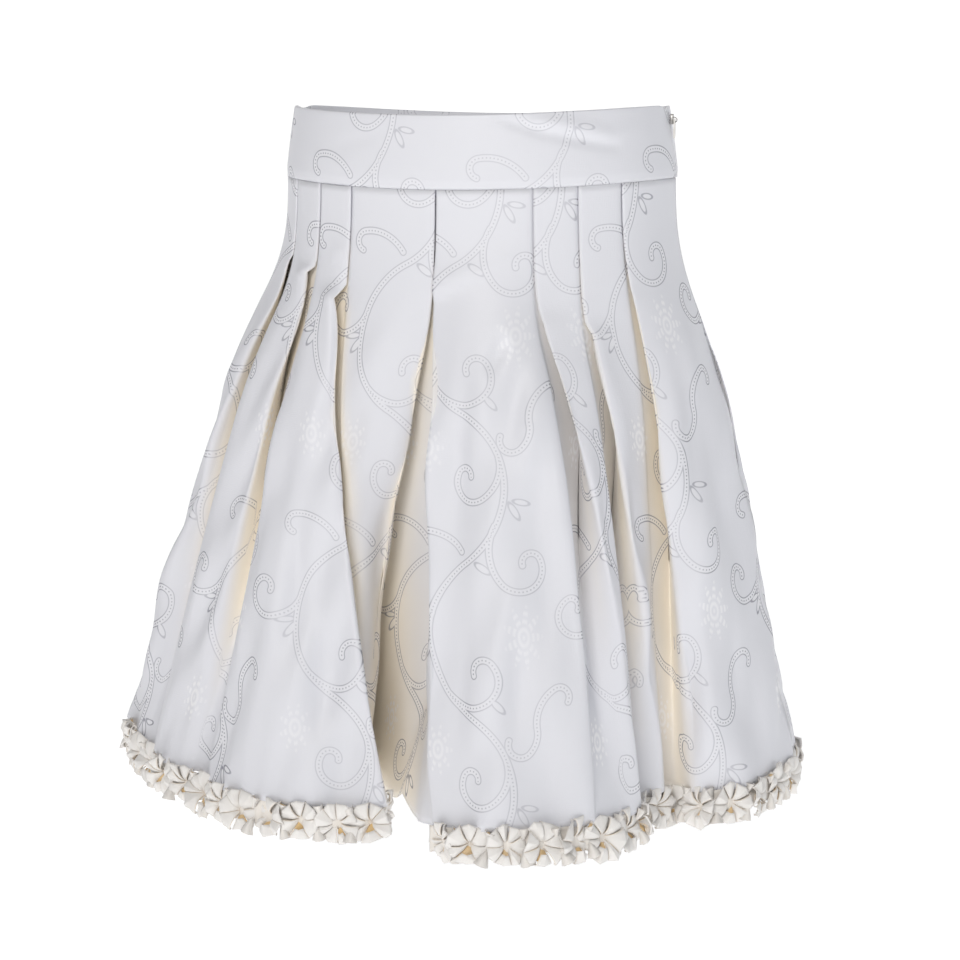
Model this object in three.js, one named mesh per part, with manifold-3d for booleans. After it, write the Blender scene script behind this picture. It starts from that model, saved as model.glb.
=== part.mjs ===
// Dirndl skirt: contoured waistband, pleated front and back panels, side zip, ruched hem trim.
// Millimetres, +Z up, the front faces -Y, +X is the wearer's left. Origin: centre of the waist.
import * as THREE from 'three';
import { mergeVertices } from 'three/addons/utils/BufferGeometryUtils.js';
import Module from 'manifold-3d';

const wasm = await Module();
wasm.setup();

// waist and cloth
const waistTop = { a: 141.5, b: 102.2 };     // half width and half depth at the band's top edge
const waistSeam = { a: 149, b: 107 };        // at the seam between band and skirt
const hip = { a: 166, b: 124 };              // where the stitched pleats let go
const bandTopZ = 26;
const seamZ = -26;
const contourDip = 6.5;                      // how much lower the band sits at the centre front and back
const bandWall = 2.6;                        // band and facing with interlining
const clothWall = 1.1;
const layerPitch = 1.8;                      // one pleat layer to the next
const clothDrop = 446;                       // length of cloth from the seam to the hem
const seamGap = 0.3;
const hipLength = 0.42;                      // share of the drop over which the body widens to the hip

// hem trim
const trimHeight = 29;
const trimThick = 9;
const trimClear = 0.9;                       // below the cloth's edge
const rosetteWidth = 30;
const pathStep = 6;                          // of the line on which the trim is sewn
const smoothingPasses = 8;

// heights at which the skirt's rings are drawn, as shares of the cloth's length
const ringShares = [0, 0.14, 0.21, 0.28, 0.36, 0.46, 0.57, 0.68, 0.79, 0.9, 1];

// One row per fold or panel point, from the centre line out to the side seam.
// Folds: at = edge on the waist ellipse in degrees, under = width of the return there in degrees,
// free = share of the length where its stitching ends, then edge, inner turn and shoulder on the
// hem in mm (to the side, outwards), roll = how softly the edge turns, bow = swing half way down.
// Plain panel points carry only at, hem and bow.
const folds = {
  frontLeft: [
    { at: 0, under: 21, free: 0.2, edge: [22, 194], inner: [-14, 146], roll: 4 },
    { at: 9.5, hem: [60, 207] },
    { at: 18.5, hem: [104, 200] },
    { at: 27, under: 12.3, free: 0.19, edge: [160, 126],
      inner: [146, 146], shoulder: [134, 168], roll: 8, bow: [12, 6] },
    { at: 40.5, under: 12.6, free: 0.22, edge: [164, 72],
      inner: [140, 92], shoulder: [150, 108], roll: 8, bow: [8, 6] },
    { at: 56, under: 15, free: 0.13, edge: [186, 70],
      inner: [166, 44], shoulder: [158, 54], roll: 12 },
    { at: 66, hem: [212, 64] },
    { at: 78, hem: [236, 34] },
    { at: 90, hem: [243, -14] },
  ],
  frontRight: [
    { at: 0, under: 21, free: 0.2, edge: [62, 100], inner: [72, 62], roll: 8 },
    { at: 13, hem: [46, 134] },
    { at: 27, under: 12.3, free: 0.22, edge: [8, 192],
      inner: [20, 168], shoulder: [33, 154], roll: 6, bow: [7, 4] },
    { at: 31, hem: [42, 197] },
    { at: 35, hem: [88, 208] },
    { at: 38, hem: [130, 190] },
    { at: 40.5, under: 12.6, free: 0.19, edge: [188, 158],
      inner: [168, 154], shoulder: [158, 168], roll: 18 },
    { at: 48, hem: [210, 142] },
    { at: 56, under: 15, free: 0.16, edge: [248, 106],
      inner: [226, 116], shoulder: [220, 128], roll: 22, bow: [4, 2] },
    { at: 66, hem: [266, 72], bow: [4, 2] },
    { at: 78, hem: [275, 30], bow: [5, 0] },
    { at: 90, hem: [276, -14], bow: [5, 0] },
  ],
  backLeft: [
    { at: 0, under: 21, free: 0.2, edge: [24, 192], inner: [20, 138], roll: 6 },
    { at: 13, hem: [68, 204] },
    { at: 27, under: 12.3, free: 0.2, edge: [126, 176],
      inner: [100, 158], shoulder: [104, 186], roll: 16 },
    { at: 40.5, under: 12.6, free: 0.21, edge: [176, 140],
      inner: [146, 118], shoulder: [150, 150], roll: 18 },
    { at: 56, under: 15, free: 0.16, edge: [216, 98],
      inner: [186, 70], shoulder: [196, 108], roll: 20 },
    { at: 70, hem: [236, 60] },
    { at: 90, hem: [243, 14] },
  ],
  backRight: [
    { at: 0, under: 21, free: 0.2, edge: [24, 193], inner: [20, 138], roll: 6 },
    { at: 13, hem: [70, 206] },
    { at: 27, under: 12.3, free: 0.2, edge: [122, 184],
      inner: [92, 160], shoulder: [100, 192], roll: 18 },
    { at: 40.5, under: 12.6, free: 0.21, edge: [180, 154],
      inner: [150, 126], shoulder: [154, 164], roll: 18 },
    { at: 56, under: 15, free: 0.16, edge: [230, 112],
      inner: [200, 82], shoulder: [208, 122], roll: 20 },
    { at: 70, hem: [262, 66], bow: [4, 0] },
    { at: 90, hem: [276, 14], bow: [5, 0] },
  ],
};
// Runs of hem trim, a quarter of the hem each. skip = points of the hem's line left bare beside the
// middle of the inverted pleat, so that the run ends on the pleat's edge or just round it.
const trimRuns = [
  { name: 'hem_trim_front_right', side: 'front', half: 'first', skip: 8 },
  { name: 'hem_trim_front_left', side: 'front', half: 'second', skip: 4 },
  { name: 'hem_trim_back_left', side: 'back', half: 'first', skip: 4 },
  { name: 'hem_trim_back_right', side: 'back', half: 'second', skip: 4 },
];
// middle of the underlay behind each inverted pleat, on the hem
const underlay = { front: { hem: [-28, 128], bow: [14, -16] }, back: { hem: [0, 128], bow: [0, 0] } };

// how the folds turn and open
const edgeTurn = 0.3;                        // degrees from a row's place to the turn of its edge
const lipWidth = 0.6;                        // degrees of panel between that turn and the next layer
const startSoft = 0.08;                      // share of the length over which a fold starts to open
const panelFree = 0.13;                      // share at which the plain panel points leave the body
const innerSwing = { slack: 0.3, haste: 0.8 };
const shoulderSwing = { slack: 1.3, haste: 0.45 };
const innerRoll = 0.7;                       // the inner turn's roll as a share of the edge's
const rollReach = { ofRoll: 0.5, ofArm: 0.4 };
const roundFrom = 0.2;                       // opening at which a turn's two layers are no longer flat
const leastFall = 0.6;                       // steepest slant: fall of a ring as a share of its cloth
const mitreLimit = 0.9;
const sideSeam = { beyond: 120, within: 20 };   // an end of a line lies on a side seam out here

// waistband
const bandAngles = [-90, -80, -70, -60, -48, -36, -24, -12, 0, 12, 24, 36, 48, 60, 70, 80, 90];
const bandRows = [0, 0.5, 1];
const bandProud = 0.9;                       // its outer face, out from the waist's own line
const bandCorner = { drop: 2.2, from: 80 };  // its top corners round off next to the side seams

// zip on the wearer's left side seam
const zip = { tapeWidth: 24, tapeThick: 0.9, inset: 2.3 };
const tapeAngles = [60, 70, 80, 90];
const tapeShares = [0.08, 0.5, 0.97];        // of the band's height
const tapeRings = 5;                         // rings of the skirt that the tape reaches down
const slider = { width: 4.6, height: 7.5, thick: 2.2, z: 16, clear: 0.75 };
const bail = { radius: 1.8, section: 0.9, steps: 8 };
const pull = { length: 14, width: 4.6, thick: 1, eyeWidth: 1.9, eyeTop: 0.5, eyeEnd: 2.9 };
const barClear = 0.9;                        // from the slider's face to the middle of the pull's bar

const rad = (deg) => (deg * Math.PI) / 180;
const mix = (p, q, e) => [p[0] + (q[0] - p[0]) * e, p[1] + (q[1] - p[1]) * e];
const minus = (p, q) => [p[0] - q[0], p[1] - q[1]];
const plus = (p, q) => [p[0] + q[0], p[1] + q[1]];
const scaled = (p, k) => [p[0] * k, p[1] * k];
const size = (p) => Math.hypot(p[0], p[1]);

function ease(x) {
  const c = Math.min(1, Math.max(0, x));
  return c * c * (3 - 2 * c);
}

// 0 while a fold is stitched down, then straight to 1 at the hem with a soft start
function opening(v, free) {
  const soft = startSoft;
  const f = (y) => (y <= -soft ? 0 : y >= soft ? y : ((y + soft) ** 2) / (4 * soft));
  return f((v - free) / (1 - free)) / f(1);
}

// a point of the stitched body: ellipse angle from the centre line, layer counted inwards
function bodyPoint(at, layer, v) {
  const k = ease(v / hipLength);
  const a = waistSeam.a + (hip.a - waistSeam.a) * k;
  const b = waistSeam.b + (hip.b - waistSeam.b) * k;
  const t = rad(at);
  const n = [Math.sin(t) / a, Math.cos(t) / b];
  const inward = (layer * layerPitch) / size(n);
  return [a * Math.sin(t) - n[0] * inward, b * Math.cos(t) - n[1] * inward];
}

// turns one arm into another through the inside of the skirt, by angle and by length
// slack = radians that it may go the other way, haste = below 1 it turns early
function swing(from, to, e, { slack, haste }) {
  const start = Math.atan2(from[1], from[0]);
  let end = Math.atan2(to[1], to[0]);
  while (end > start + slack) end -= 2 * Math.PI;
  while (end < start + slack - 2 * Math.PI) end += 2 * Math.PI;
  const angle = start + (end - start) * e ** haste;
  const length = size(from) + (size(to) - size(from)) * e;
  return [Math.cos(angle) * length, Math.sin(angle) * length];
}

// control points of a quarter at one height, from the underlay's middle to the side seam
function quarterPoints(rows, middle, v) {
  const opened = opening(v, rows[0].free);
  const middleBow = scaled(middle.bow, 4 * opened * (1 - opened));
  const path = [{ kind: 'underlay', p: plus(mix(bodyPoint(0, 2, v), middle.hem, opened), middleBow) }];
  for (const row of rows) {
    const e = opening(v, row.free ?? panelFree);
    const bowed = scaled(row.bow ?? [0, 0], 4 * e * (1 - e));
    if (!row.edge) {
      path.push({ kind: 'panel', p: plus(mix(bodyPoint(row.at, 0, v), row.hem, e), bowed) });
      continue;
    }
    const flatEdge = bodyPoint(row.at + edgeTurn, 0.5, v);
    const edge = plus(mix(flatEdge, row.edge, e), bowed);
    if (row.shoulder) {
      const hemArm = minus(row.shoulder, row.edge);
      const lip = minus(bodyPoint(row.at - lipWidth, 0, v), flatEdge);
      const shoulder = minus(bodyPoint(row.at, 2, v), flatEdge);
      path.push({ kind: 'lip', p: plus(edge, mix(lip, hemArm, e)) });
      path.push({ kind: 'shoulder', p: plus(edge, swing(shoulder, hemArm, e, shoulderSwing)) });
    }
    const innerAt = row.at + row.under;
    const innerArm = minus(bodyPoint(innerAt, 1.5, v), flatEdge);
    const inner = plus(edge, swing(innerArm, minus(row.inner, row.edge), e, innerSwing));
    path.push({ kind: 'turn', p: inner, open: e, at: innerAt, layers: [2, 1], roll: row.roll * innerRoll });
    path.push({ kind: 'turn', p: edge, open: e, at: row.at + edgeTurn, layers: [1, 0], roll: row.roll });
  }
  return splitTurns(path, v);
}

// each turn of the cloth becomes two points, a layer apart when flat and rolled round when open
function splitTurns(path, v) {
  const out = [];
  path.forEach((node, i) => {
    if (node.kind !== 'turn') {
      out.push(node.p);
      return;
    }
    const before = minus(path[i - 1].p, node.p);
    const after = minus(path[i + 1].p, node.p);
    const flat = Math.max(0, 1 - node.open / roundFrom);
    const middle = bodyPoint(node.at, (node.layers[0] + node.layers[1]) / 2, v);
    [before, after].forEach((arm, side) => {
      const reach = Math.min(node.roll * rollReach.ofRoll * node.open, size(arm) * rollReach.ofArm);
      const apart = scaled(minus(bodyPoint(node.at, node.layers[side], v), middle), flat);
      out.push(plus(node.p, plus(apart, scaled(arm, reach / size(arm)))));
    });
  });
  return out;
}

// whole width of the front or back panel at one height, one side seam to the other
function panelOutline(side, v) {
  const left = folds[`${side}Left`];
  const right = folds[`${side}Right`];
  const facing = side === 'front' ? -1 : 1;
  const middle = underlay[side];
  const mirrorMiddle = { hem: [-middle.hem[0], middle.hem[1]], bow: [-middle.bow[0], middle.bow[1]] };
  const l = quarterPoints(left, middle, v).map(([x, y]) => [x, y * facing]);
  const r = quarterPoints(right, mirrorMiddle, v).map(([x, y]) => [-x, y * facing]);
  return side === 'front' ? [...r.reverse(), ...l.slice(1)] : [...l.reverse(), ...r.slice(1)];
}

// rounds the corners of an open control line, one point for each of its points
function softened(line) {
  return line.map((p, i) => {
    if (i === 0 || i === line.length - 1) return p;
    const a = i > 1 ? mix(line[i - 1], p, 0.5) : line[0];
    const b = i < line.length - 2 ? mix(p, line[i + 1], 0.5) : line[line.length - 1];
    return [(a[0] + 2 * p[0] + b[0]) / 4, (a[1] + 2 * p[1] + b[1]) / 4];
  });
}

// middle surface of a panel: rows of [x, y, z], each ring as far down as the cloth reaches
function panelSurface(side) {
  const plan = ringShares.map((v) => softened(panelOutline(side, v)));
  const surface = [plan[0].map(([x, y]) => {
    const across = Math.min(1, Math.abs(x) / waistSeam.a);
    return [x, y, seamZ - contourDip * (1 - across * across) - seamGap / 2];
  })];
  for (let j = 1; j < plan.length; j += 1) {
    const run = clothDrop * (ringShares[j] - ringShares[j - 1]);
    surface.push(plan[j].map(([x, y], i) => {
      const [px, py, pz] = surface[j - 1][i];
      const slide = Math.hypot(x - px, y - py);
      return [x, y, pz - Math.sqrt(Math.max(run * run - slide * slide, (run * leastFall) ** 2))];
    }));
  }
  return surface;
}

// moves an open plan line sideways by a distance, mitred at its corners and square at the side seams
function offsetLine(line, distance) {
  return line.map((p, i) => {
    const isEnd = i === 0 || i === line.length - 1;
    if (isEnd && Math.abs(p[0]) > sideSeam.beyond && Math.abs(p[1]) < sideSeam.within) {
      return plus(p, [Math.sign(p[0]) * distance, 0]);
    }
    const before = i > 0 ? minus(p, line[i - 1]) : null;
    const after = i < line.length - 1 ? minus(line[i + 1], p) : null;
    const n = [before, after].filter(Boolean).map((d) => [d[1] / size(d), -d[0] / size(d)]);
    if (n.length === 1) return plus(p, scaled(n[0], distance));
    const sum = plus(n[0], n[1]);
    const length = Math.max(size(sum) ** 2 / 2, mitreLimit);
    return plus(p, scaled(sum, distance / length));
  });
}

function meshFrom(name, positions, triangles, material) {
  const geometry = new THREE.BufferGeometry();
  geometry.setAttribute('position', new THREE.Float32BufferAttribute(positions.flat(), 3));
  geometry.setIndex(triangles.flat());
  const mesh = new THREE.Mesh(geometry, material);
  mesh.name = name;
  return mesh;
}

// closed body between two grids of the same size: rows j, columns i, outer faces outwards
function slab(name, outer, inner, material) {
  const rows = outer.length;
  const columns = outer[0].length;
  const positions = [...outer.flat(), ...inner.flat()];
  const o = (j, i) => j * columns + i;
  const n = (j, i) => rows * columns + j * columns + i;
  const triangles = [];
  const quad = (a, b, c, d) => triangles.push([a, b, c], [a, c, d]);
  for (let j = 0; j < rows - 1; j += 1) {
    for (let i = 0; i < columns - 1; i += 1) {
      quad(o(j, i), o(j + 1, i), o(j + 1, i + 1), o(j, i + 1));
      quad(n(j, i), n(j, i + 1), n(j + 1, i + 1), n(j + 1, i));
    }
    quad(o(j, 0), n(j, 0), n(j + 1, 0), o(j + 1, 0));
    quad(o(j, columns - 1), o(j + 1, columns - 1), n(j + 1, columns - 1), n(j, columns - 1));
  }
  for (let i = 0; i < columns - 1; i += 1) {
    quad(o(0, i), o(0, i + 1), n(0, i + 1), n(0, i));
    quad(o(rows - 1, i), n(rows - 1, i), n(rows - 1, i + 1), o(rows - 1, i + 1));
  }
  return meshFrom(name, positions, triangles, material);
}

// shortens an open line by a distance at both ends
function trimmed(line, distance) {
  const out = line.map((p) => [...p]);
  const drawnIn = (end, next) => {
    const d = Math.hypot(next[0] - end[0], next[1] - end[1]);
    return end.map((c, k) => c + ((next[k] - c) * distance) / d);
  };
  out[0] = drawnIn(line[0], line[1]);
  out[line.length - 1] = drawnIn(line[line.length - 1], line[line.length - 2]);
  return out;
}

function skirtPanel(side, material) {
  const surface = panelSurface(side).map((row) => trimmed(row, seamGap / 2));
  const faces = [clothWall / 2, -clothWall / 2].map((distance) => surface.map((row) => {
    const moved = offsetLine(row.map(([x, y]) => [x, y]), distance);
    return row.map(([, , z], i) => [moved[i][0], moved[i][1], z]);
  }));
  return slab(`skirt_${side}`, faces[0], faces[1], material);
}

// the band's middle line at a height share, 0 at the top edge and 1 at the seam
function bandPoint(at, share) {
  const a = waistTop.a + (waistSeam.a - waistTop.a) * share;
  const b = waistTop.b + (waistSeam.b - waistTop.b) * share;
  const z = bandTopZ + (seamZ - bandTopZ) * share - contourDip * Math.cos(rad(at)) ** 2;
  const nearSeam = (Math.abs(at) - bandCorner.from) / (90 - bandCorner.from);
  const corner = share === 0 ? bandCorner.drop * ease(nearSeam) : 0;
  return [a * Math.sin(rad(at)), b * Math.cos(rad(at)), z - corner + (share === 1 ? seamGap / 2 : 0)];
}

function waistband(side, material) {
  const facing = side === 'front' ? -1 : 1;
  const angles = side === 'front' ? bandAngles : [...bandAngles].reverse();
  const rows = bandRows.map((share) => trimmed(
    angles.map((at) => {
      const [x, y, z] = bandPoint(at, share);
      return [x, y * facing, z];
    }),
    seamGap / 2,
  ));
  const faces = [bandProud, bandProud - bandWall].map((distance) => rows.map((row) => {
    const moved = offsetLine(row.map(([x, y]) => [x, y]), distance);
    return row.map(([, , z], i) => [moved[i][0], moved[i][1], z]);
  }));
  return slab(`waistband_${side}`, faces[0], faces[1], material);
}

// the way along which a run of trim is sewn: a stretch of the hem's line, its sharp turns smoothed
function trimPath(run) {
  const hem = panelSurface(run.side)[ringShares.length - 1];
  const firstQuarter = run.side === 'front' ? folds.frontRight : folds.backLeft;
  const middle = quarterPoints(firstQuarter, underlay[run.side], 1).length - 1;
  const stretch = run.half === 'first' ? hem.slice(0, middle - run.skip + 1) : hem.slice(middle + run.skip);
  let line = resampled(stretch, Math.round(lengthOf(stretch) / pathStep));
  for (let pass = 0; pass < smoothingPasses; pass += 1) {
    line = line.map((p, i) => {
      if (i === 0 || i === line.length - 1) return p;
      return p.map((c, k) => (line[i - 1][k] + 2 * c + line[i + 1][k]) / 4);
    });
  }
  return line;
}

const planDistance = (p, q) => Math.hypot(q[0] - p[0], q[1] - p[1]);

function lengthOf(line) {
  return line.slice(1).reduce((sum, p, i) => sum + planDistance(line[i], p), 0);
}

// the same line in a number of equal pieces
function resampled(line, pieces) {
  const total = lengthOf(line);
  const out = [];
  let k = 0;
  let passed = 0;
  let piece = planDistance(line[0], line[1]);
  for (let i = 0; i <= pieces; i += 1) {
    const s = (total * i) / pieces;
    while (k < line.length - 2 && passed + piece < s) {
      passed += piece;
      k += 1;
      piece = planDistance(line[k], line[k + 1]);
    }
    out.push(line[k].map((c, m) => c + ((line[k + 1][m] - c) * (s - passed)) / piece));
  }
  return out;
}

// One run of the ruched trim: a closed body with a level top edge under the hem, whose section
// swells at each rosette's shoulders, dips at its pinched middle and is thin where two rosettes meet.
const rosetteSections = [
  { low: 0.62, deep: 0.45, pinch: 0.4 },
  { low: 0.98, deep: 0.92, pinch: 0.75 },
  { low: 0.9, deep: 1, pinch: 0.5 },
  { low: 0.98, deep: 0.92, pinch: 0.75 },
];

function hemTrim(run, material) {
  const path = trimPath(run);
  const rosettes = Math.round(lengthOf(path) / rosetteWidth);
  const line = trimmed(resampled(path, rosettes * rosetteSections.length), seamGap / 2);
  const flat = line.map(([x, y]) => [x, y]);
  const positions = [];
  const half = trimHeight / 2;
  line.forEach((p, i) => {
    const s = rosetteSections[i % rosetteSections.length];
    const middle = p[2] - trimClear - half;
    const deep = (trimThick * s.deep) / 2;
    const section = [
      [0.3 * deep, half], [deep, half * 0.5], [deep * s.pinch, 0],
      [deep, -half * 0.5 * s.low], [0.25 * deep, -half * s.low], [-deep * 0.55, 0],
    ];
    section.forEach(([out, up]) => {
      const q = offsetLine(flat, out)[i];
      positions.push([q[0], q[1], middle + up]);
    });
  });
  const corners = positions.length / line.length;
  const triangles = [];
  const at = (i, k) => i * corners + (k % corners);
  for (let i = 0; i < line.length - 1; i += 1) {
    for (let k = 0; k < corners; k += 1) {
      triangles.push([at(i, k), at(i, k + 1), at(i + 1, k + 1)], [at(i, k), at(i + 1, k + 1), at(i + 1, k)]);
    }
  }
  const last = line.length - 1;
  for (let k = 1; k < corners - 1; k += 1) {
    triangles.push([at(0, 0), at(0, k + 1), at(0, k)], [at(last, 0), at(last, k), at(last, k + 1)]);
  }
  return meshFrom(run.name, positions, triangles, material);
}

// points at given distances along a plan line, counted from its middle point
function pointsAlong(line, middle, distances) {
  return distances.map((distance) => {
    const step = Math.sign(distance) || 1;
    let left = Math.abs(distance);
    let i = middle;
    let run = planDistance(line[i], line[i + step]);
    while (left > run) {
      left -= run;
      i += step;
      run = planDistance(line[i], line[i + step]);
    }
    return line[i].map((c, k) => c + ((line[i + step][k] - c) * left) / run);
  });
}

// zip tape: a strip on the inside of the left side seam, from the band's top to below the hip
function zipTape(material) {
  const front = panelSurface('front');
  const back = panelSurface('back');
  const reach = tapeAngles.length;
  const bandLines = tapeShares.map((share) => {
    const quarter = tapeAngles.map((at) => bandPoint(at, share));
    return [...quarter.map(([x, y, z]) => [x, -y, z]), ...quarter.slice(0, -1).reverse()];
  });
  const skirtLines = front.slice(0, tapeRings).map((ring, j) => [
    ...ring.slice(-reach), ...back[j].slice(1, reach),
  ]);
  const half = zip.tapeWidth / 2;
  const grid = (inset) => [...bandLines, ...skirtLines].map((line) => {
    const moved = offsetLine(line, -inset).map(([x, y], i) => [x, y, line[i][2]]);
    return pointsAlong(moved, reach - 1, [-half, -half / 2, 0, half / 2, half]);
  });
  return slab('zip_tape', grid(zip.inset), grid(zip.inset + zip.tapeThick), material);
}

function manifoldOf(geometry) {
  const bare = geometry.clone();
  bare.deleteAttribute('normal');
  bare.deleteAttribute('uv');
  const merged = mergeVertices(bare.index ? bare.toNonIndexed() : bare, 1e-4);
  return new wasm.Manifold(new wasm.Mesh({
    numProp: 3,
    vertProperties: new Float32Array(merged.attributes.position.array),
    triVerts: new Uint32Array(merged.index.array),
  }));
}

function meshOf(name, solid, material) {
  const raw = solid.getMesh();
  const geometry = new THREE.BufferGeometry();
  const points = [];
  for (let i = 0; i < raw.vertProperties.length; i += raw.numProp) {
    points.push(raw.vertProperties[i], raw.vertProperties[i + 1], raw.vertProperties[i + 2]);
  }
  geometry.setAttribute('position', new THREE.Float32BufferAttribute(points, 3));
  geometry.setIndex(Array.from(raw.triVerts));
  const mesh = new THREE.Mesh(geometry, material);
  mesh.name = name;
  return mesh;
}

// Slider and pull sit outside the side seam. The slider's bail is a half ring in the XZ plane
// and the pull hangs on it by a bar that the bail goes round, so the pull lifts about that bar.
const downBand = (bandTopZ - slider.z) / (bandTopZ - seamZ);
const bandFaceX = waistTop.a + (waistSeam.a - waistTop.a) * downBand + bandProud;
const sliderX = bandFaceX + slider.clear;
const barX = sliderX + slider.thick + barClear;
const barZ = slider.z - 0.5;

function shapeFrom(points, Kind = THREE.Shape) {
  const shape = new Kind();
  points.forEach(([x, y], i) => (i ? shape.lineTo(x, y) : shape.moveTo(x, y)));
  shape.closePath();
  return shape;
}

const mirrored = (points) => [...points, ...points.map(([x, y]) => [-x, y]).reverse()];

// half of an upright ring, ends first at the top, about the bar
function halfRing(radius) {
  const angles = Array.from({ length: bail.steps + 1 }, (_, k) => (k * Math.PI) / bail.steps);
  return angles.map((t) => [radius * Math.sin(t), radius * Math.cos(t)]);
}

function zipSlider(material) {
  const w = slider.width / 2;
  const h = slider.height / 2;
  const body = shapeFrom(mirrored([[w * 0.6, h], [w, h * 0.45], [w * 0.8, -h]]));
  const plate = new THREE.ExtrudeGeometry(body, { depth: slider.thick, bevelEnabled: false });
  plate.rotateX(Math.PI / 2);
  plate.rotateZ(Math.PI / 2);
  plate.translate(sliderX, 0, slider.z);
  const outer = bail.radius + bail.section / 2;
  const inner = bail.radius - bail.section / 2;
  const back = -barClear - slider.thick / 4;
  const arch = shapeFrom([
    [back, outer], ...halfRing(outer), [back, -outer],
    [back, -inner], ...halfRing(inner).reverse(), [back, inner],
  ]);
  const ring = new THREE.ExtrudeGeometry(arch, { depth: bail.section, bevelEnabled: false });
  ring.translate(0, 0, -bail.section / 2);
  ring.rotateX(Math.PI / 2);
  ring.translate(barX, 0, barZ);
  return meshOf('zip_slider', manifoldOf(plate).add(manifoldOf(ring)), material);
}

function zipPull(material) {
  const w = pull.width / 2;
  const top = pull.thick / 2;
  const end = top - pull.length;
  const blade = shapeFrom(mirrored([
    [w * 0.62, top], [w * 0.72, -3.4], [w, -9.5], [w * 0.7, end + 0.6], [w * 0.25, end],
  ]));
  const half = pull.eyeWidth / 2;
  blade.holes.push(shapeFrom([
    [-half, -pull.eyeTop], [-half, -pull.eyeEnd], [half, -pull.eyeEnd], [half, -pull.eyeTop],
  ], THREE.Path));
  const geometry = new THREE.ExtrudeGeometry(blade, { depth: pull.thick, bevelEnabled: false });
  geometry.translate(0, 0, -pull.thick / 2);
  geometry.rotateX(Math.PI / 2);
  geometry.rotateZ(Math.PI / 2);
  geometry.deleteAttribute('normal');
  geometry.deleteAttribute('uv');
  const mesh = new THREE.Mesh(mergeVertices(geometry, 1e-4), material);
  mesh.position.set(barX, 0, barZ);
  mesh.name = 'zip_pull';
  return mesh;
}

const cloth = (colour) => new THREE.MeshStandardMaterial({
  color: colour,
  roughness: 0.62,
  metalness: 0,
  side: THREE.DoubleSide,
});
const group = new THREE.Group();

group.add(waistband('front', cloth(0xe9e7e2)));
group.add(waistband('back', cloth(0xe9e7e2)));
group.add(skirtPanel('front', cloth(0xe6e3dc)));
group.add(skirtPanel('back', cloth(0xe6e3dc)));

for (const run of trimRuns) group.add(hemTrim(run, cloth(0xe8e0cf)));
group.add(zipTape(cloth(0xe4e1da)));
group.add(zipSlider(new THREE.MeshStandardMaterial({ color: 0x6f6c68, roughness: 0.35, metalness: 0.9 })));
group.add(zipPull(new THREE.MeshStandardMaterial({ color: 0xd9d6cf, roughness: 0.4, metalness: 0.1 })));

export default group;
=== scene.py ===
import math
import random

import bmesh
import bpy
import numpy as np
from mathutils import Matrix, Vector


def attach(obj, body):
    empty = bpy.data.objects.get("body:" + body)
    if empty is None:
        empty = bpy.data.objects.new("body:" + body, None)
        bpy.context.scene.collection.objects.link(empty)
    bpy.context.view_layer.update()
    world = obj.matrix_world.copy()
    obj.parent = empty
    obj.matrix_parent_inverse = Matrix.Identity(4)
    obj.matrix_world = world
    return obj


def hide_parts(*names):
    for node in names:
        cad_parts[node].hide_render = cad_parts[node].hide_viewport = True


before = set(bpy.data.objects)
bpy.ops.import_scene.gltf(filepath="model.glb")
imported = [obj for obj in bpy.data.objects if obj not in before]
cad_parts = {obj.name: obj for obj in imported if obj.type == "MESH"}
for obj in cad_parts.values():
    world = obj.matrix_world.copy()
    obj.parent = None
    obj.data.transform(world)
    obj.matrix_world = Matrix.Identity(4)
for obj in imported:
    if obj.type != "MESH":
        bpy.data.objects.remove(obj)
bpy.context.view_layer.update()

mm = 0.001               # the tables below are in millimetres
tiny = 1e-9
scene = bpy.context.scene

# degrees and metres, with the lens and its sensor in millimetres
view = dict(azimuth=17, distance=1.6, height=0.03, pitch=10.2, lens=79.3, sensor=36, clipEnd=50)


def makeCamera():
    data = bpy.data.cameras.new("camera")
    data.lens = view["lens"]
    data.sensor_width = view["sensor"]
    data.clip_end = view["clipEnd"]
    camera = bpy.data.objects.new("camera", data)
    turn = math.radians(view["azimuth"])
    distance = view["distance"]
    camera.location = (distance * math.sin(turn), -distance * math.cos(turn), view["height"])
    camera.rotation_euler = (math.radians(90 - view["pitch"]), 0, turn)
    scene.collection.objects.link(camera)
    scene.camera = camera


makeCamera()


def ease(x):
    c = np.clip(x, 0, 1)
    return c * c * (3 - 2 * c)


def unit(vectors):
    return vectors / np.maximum(np.linalg.norm(vectors, axis=-1, keepdims=True), tiny)


def cross2(a, b):
    return a[..., 0] * b[..., 1] - a[..., 1] * b[..., 0]


# evened out along the first axis, with its ends kept
def softened(values, passes):
    for _ in range(passes):
        values = np.concatenate([values[:1], (values[:-2] + 2 * values[1:-1] + values[2:]) / 4, values[-1:]])
    return values


# distances along a line of points, from its start
def alongLine(line):
    return np.concatenate([[0], np.cumsum(np.linalg.norm(np.diff(line, axis=0), axis=1))])


# the points at some distances along a line
def pointsAlong(line, where, s):
    return np.stack([np.interp(where, s, line[:, k]) for k in range(line.shape[1])], -1)


def linked(name, mesh):
    obj = bpy.data.objects.new(name, mesh)
    scene.collection.objects.link(obj)
    return obj


# the faces of a grid of points; closed joins the ends of its rows
def gridFaces(rows, columns, closed=False):
    faces = []
    for j in range(rows - 1):
        for i in range(columns if closed else columns - 1):
            k = (i + 1) % columns
            a, b = j * columns, (j + 1) * columns
            faces.append((a + i, b + i, b + k, a + k))
    return faces


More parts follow.
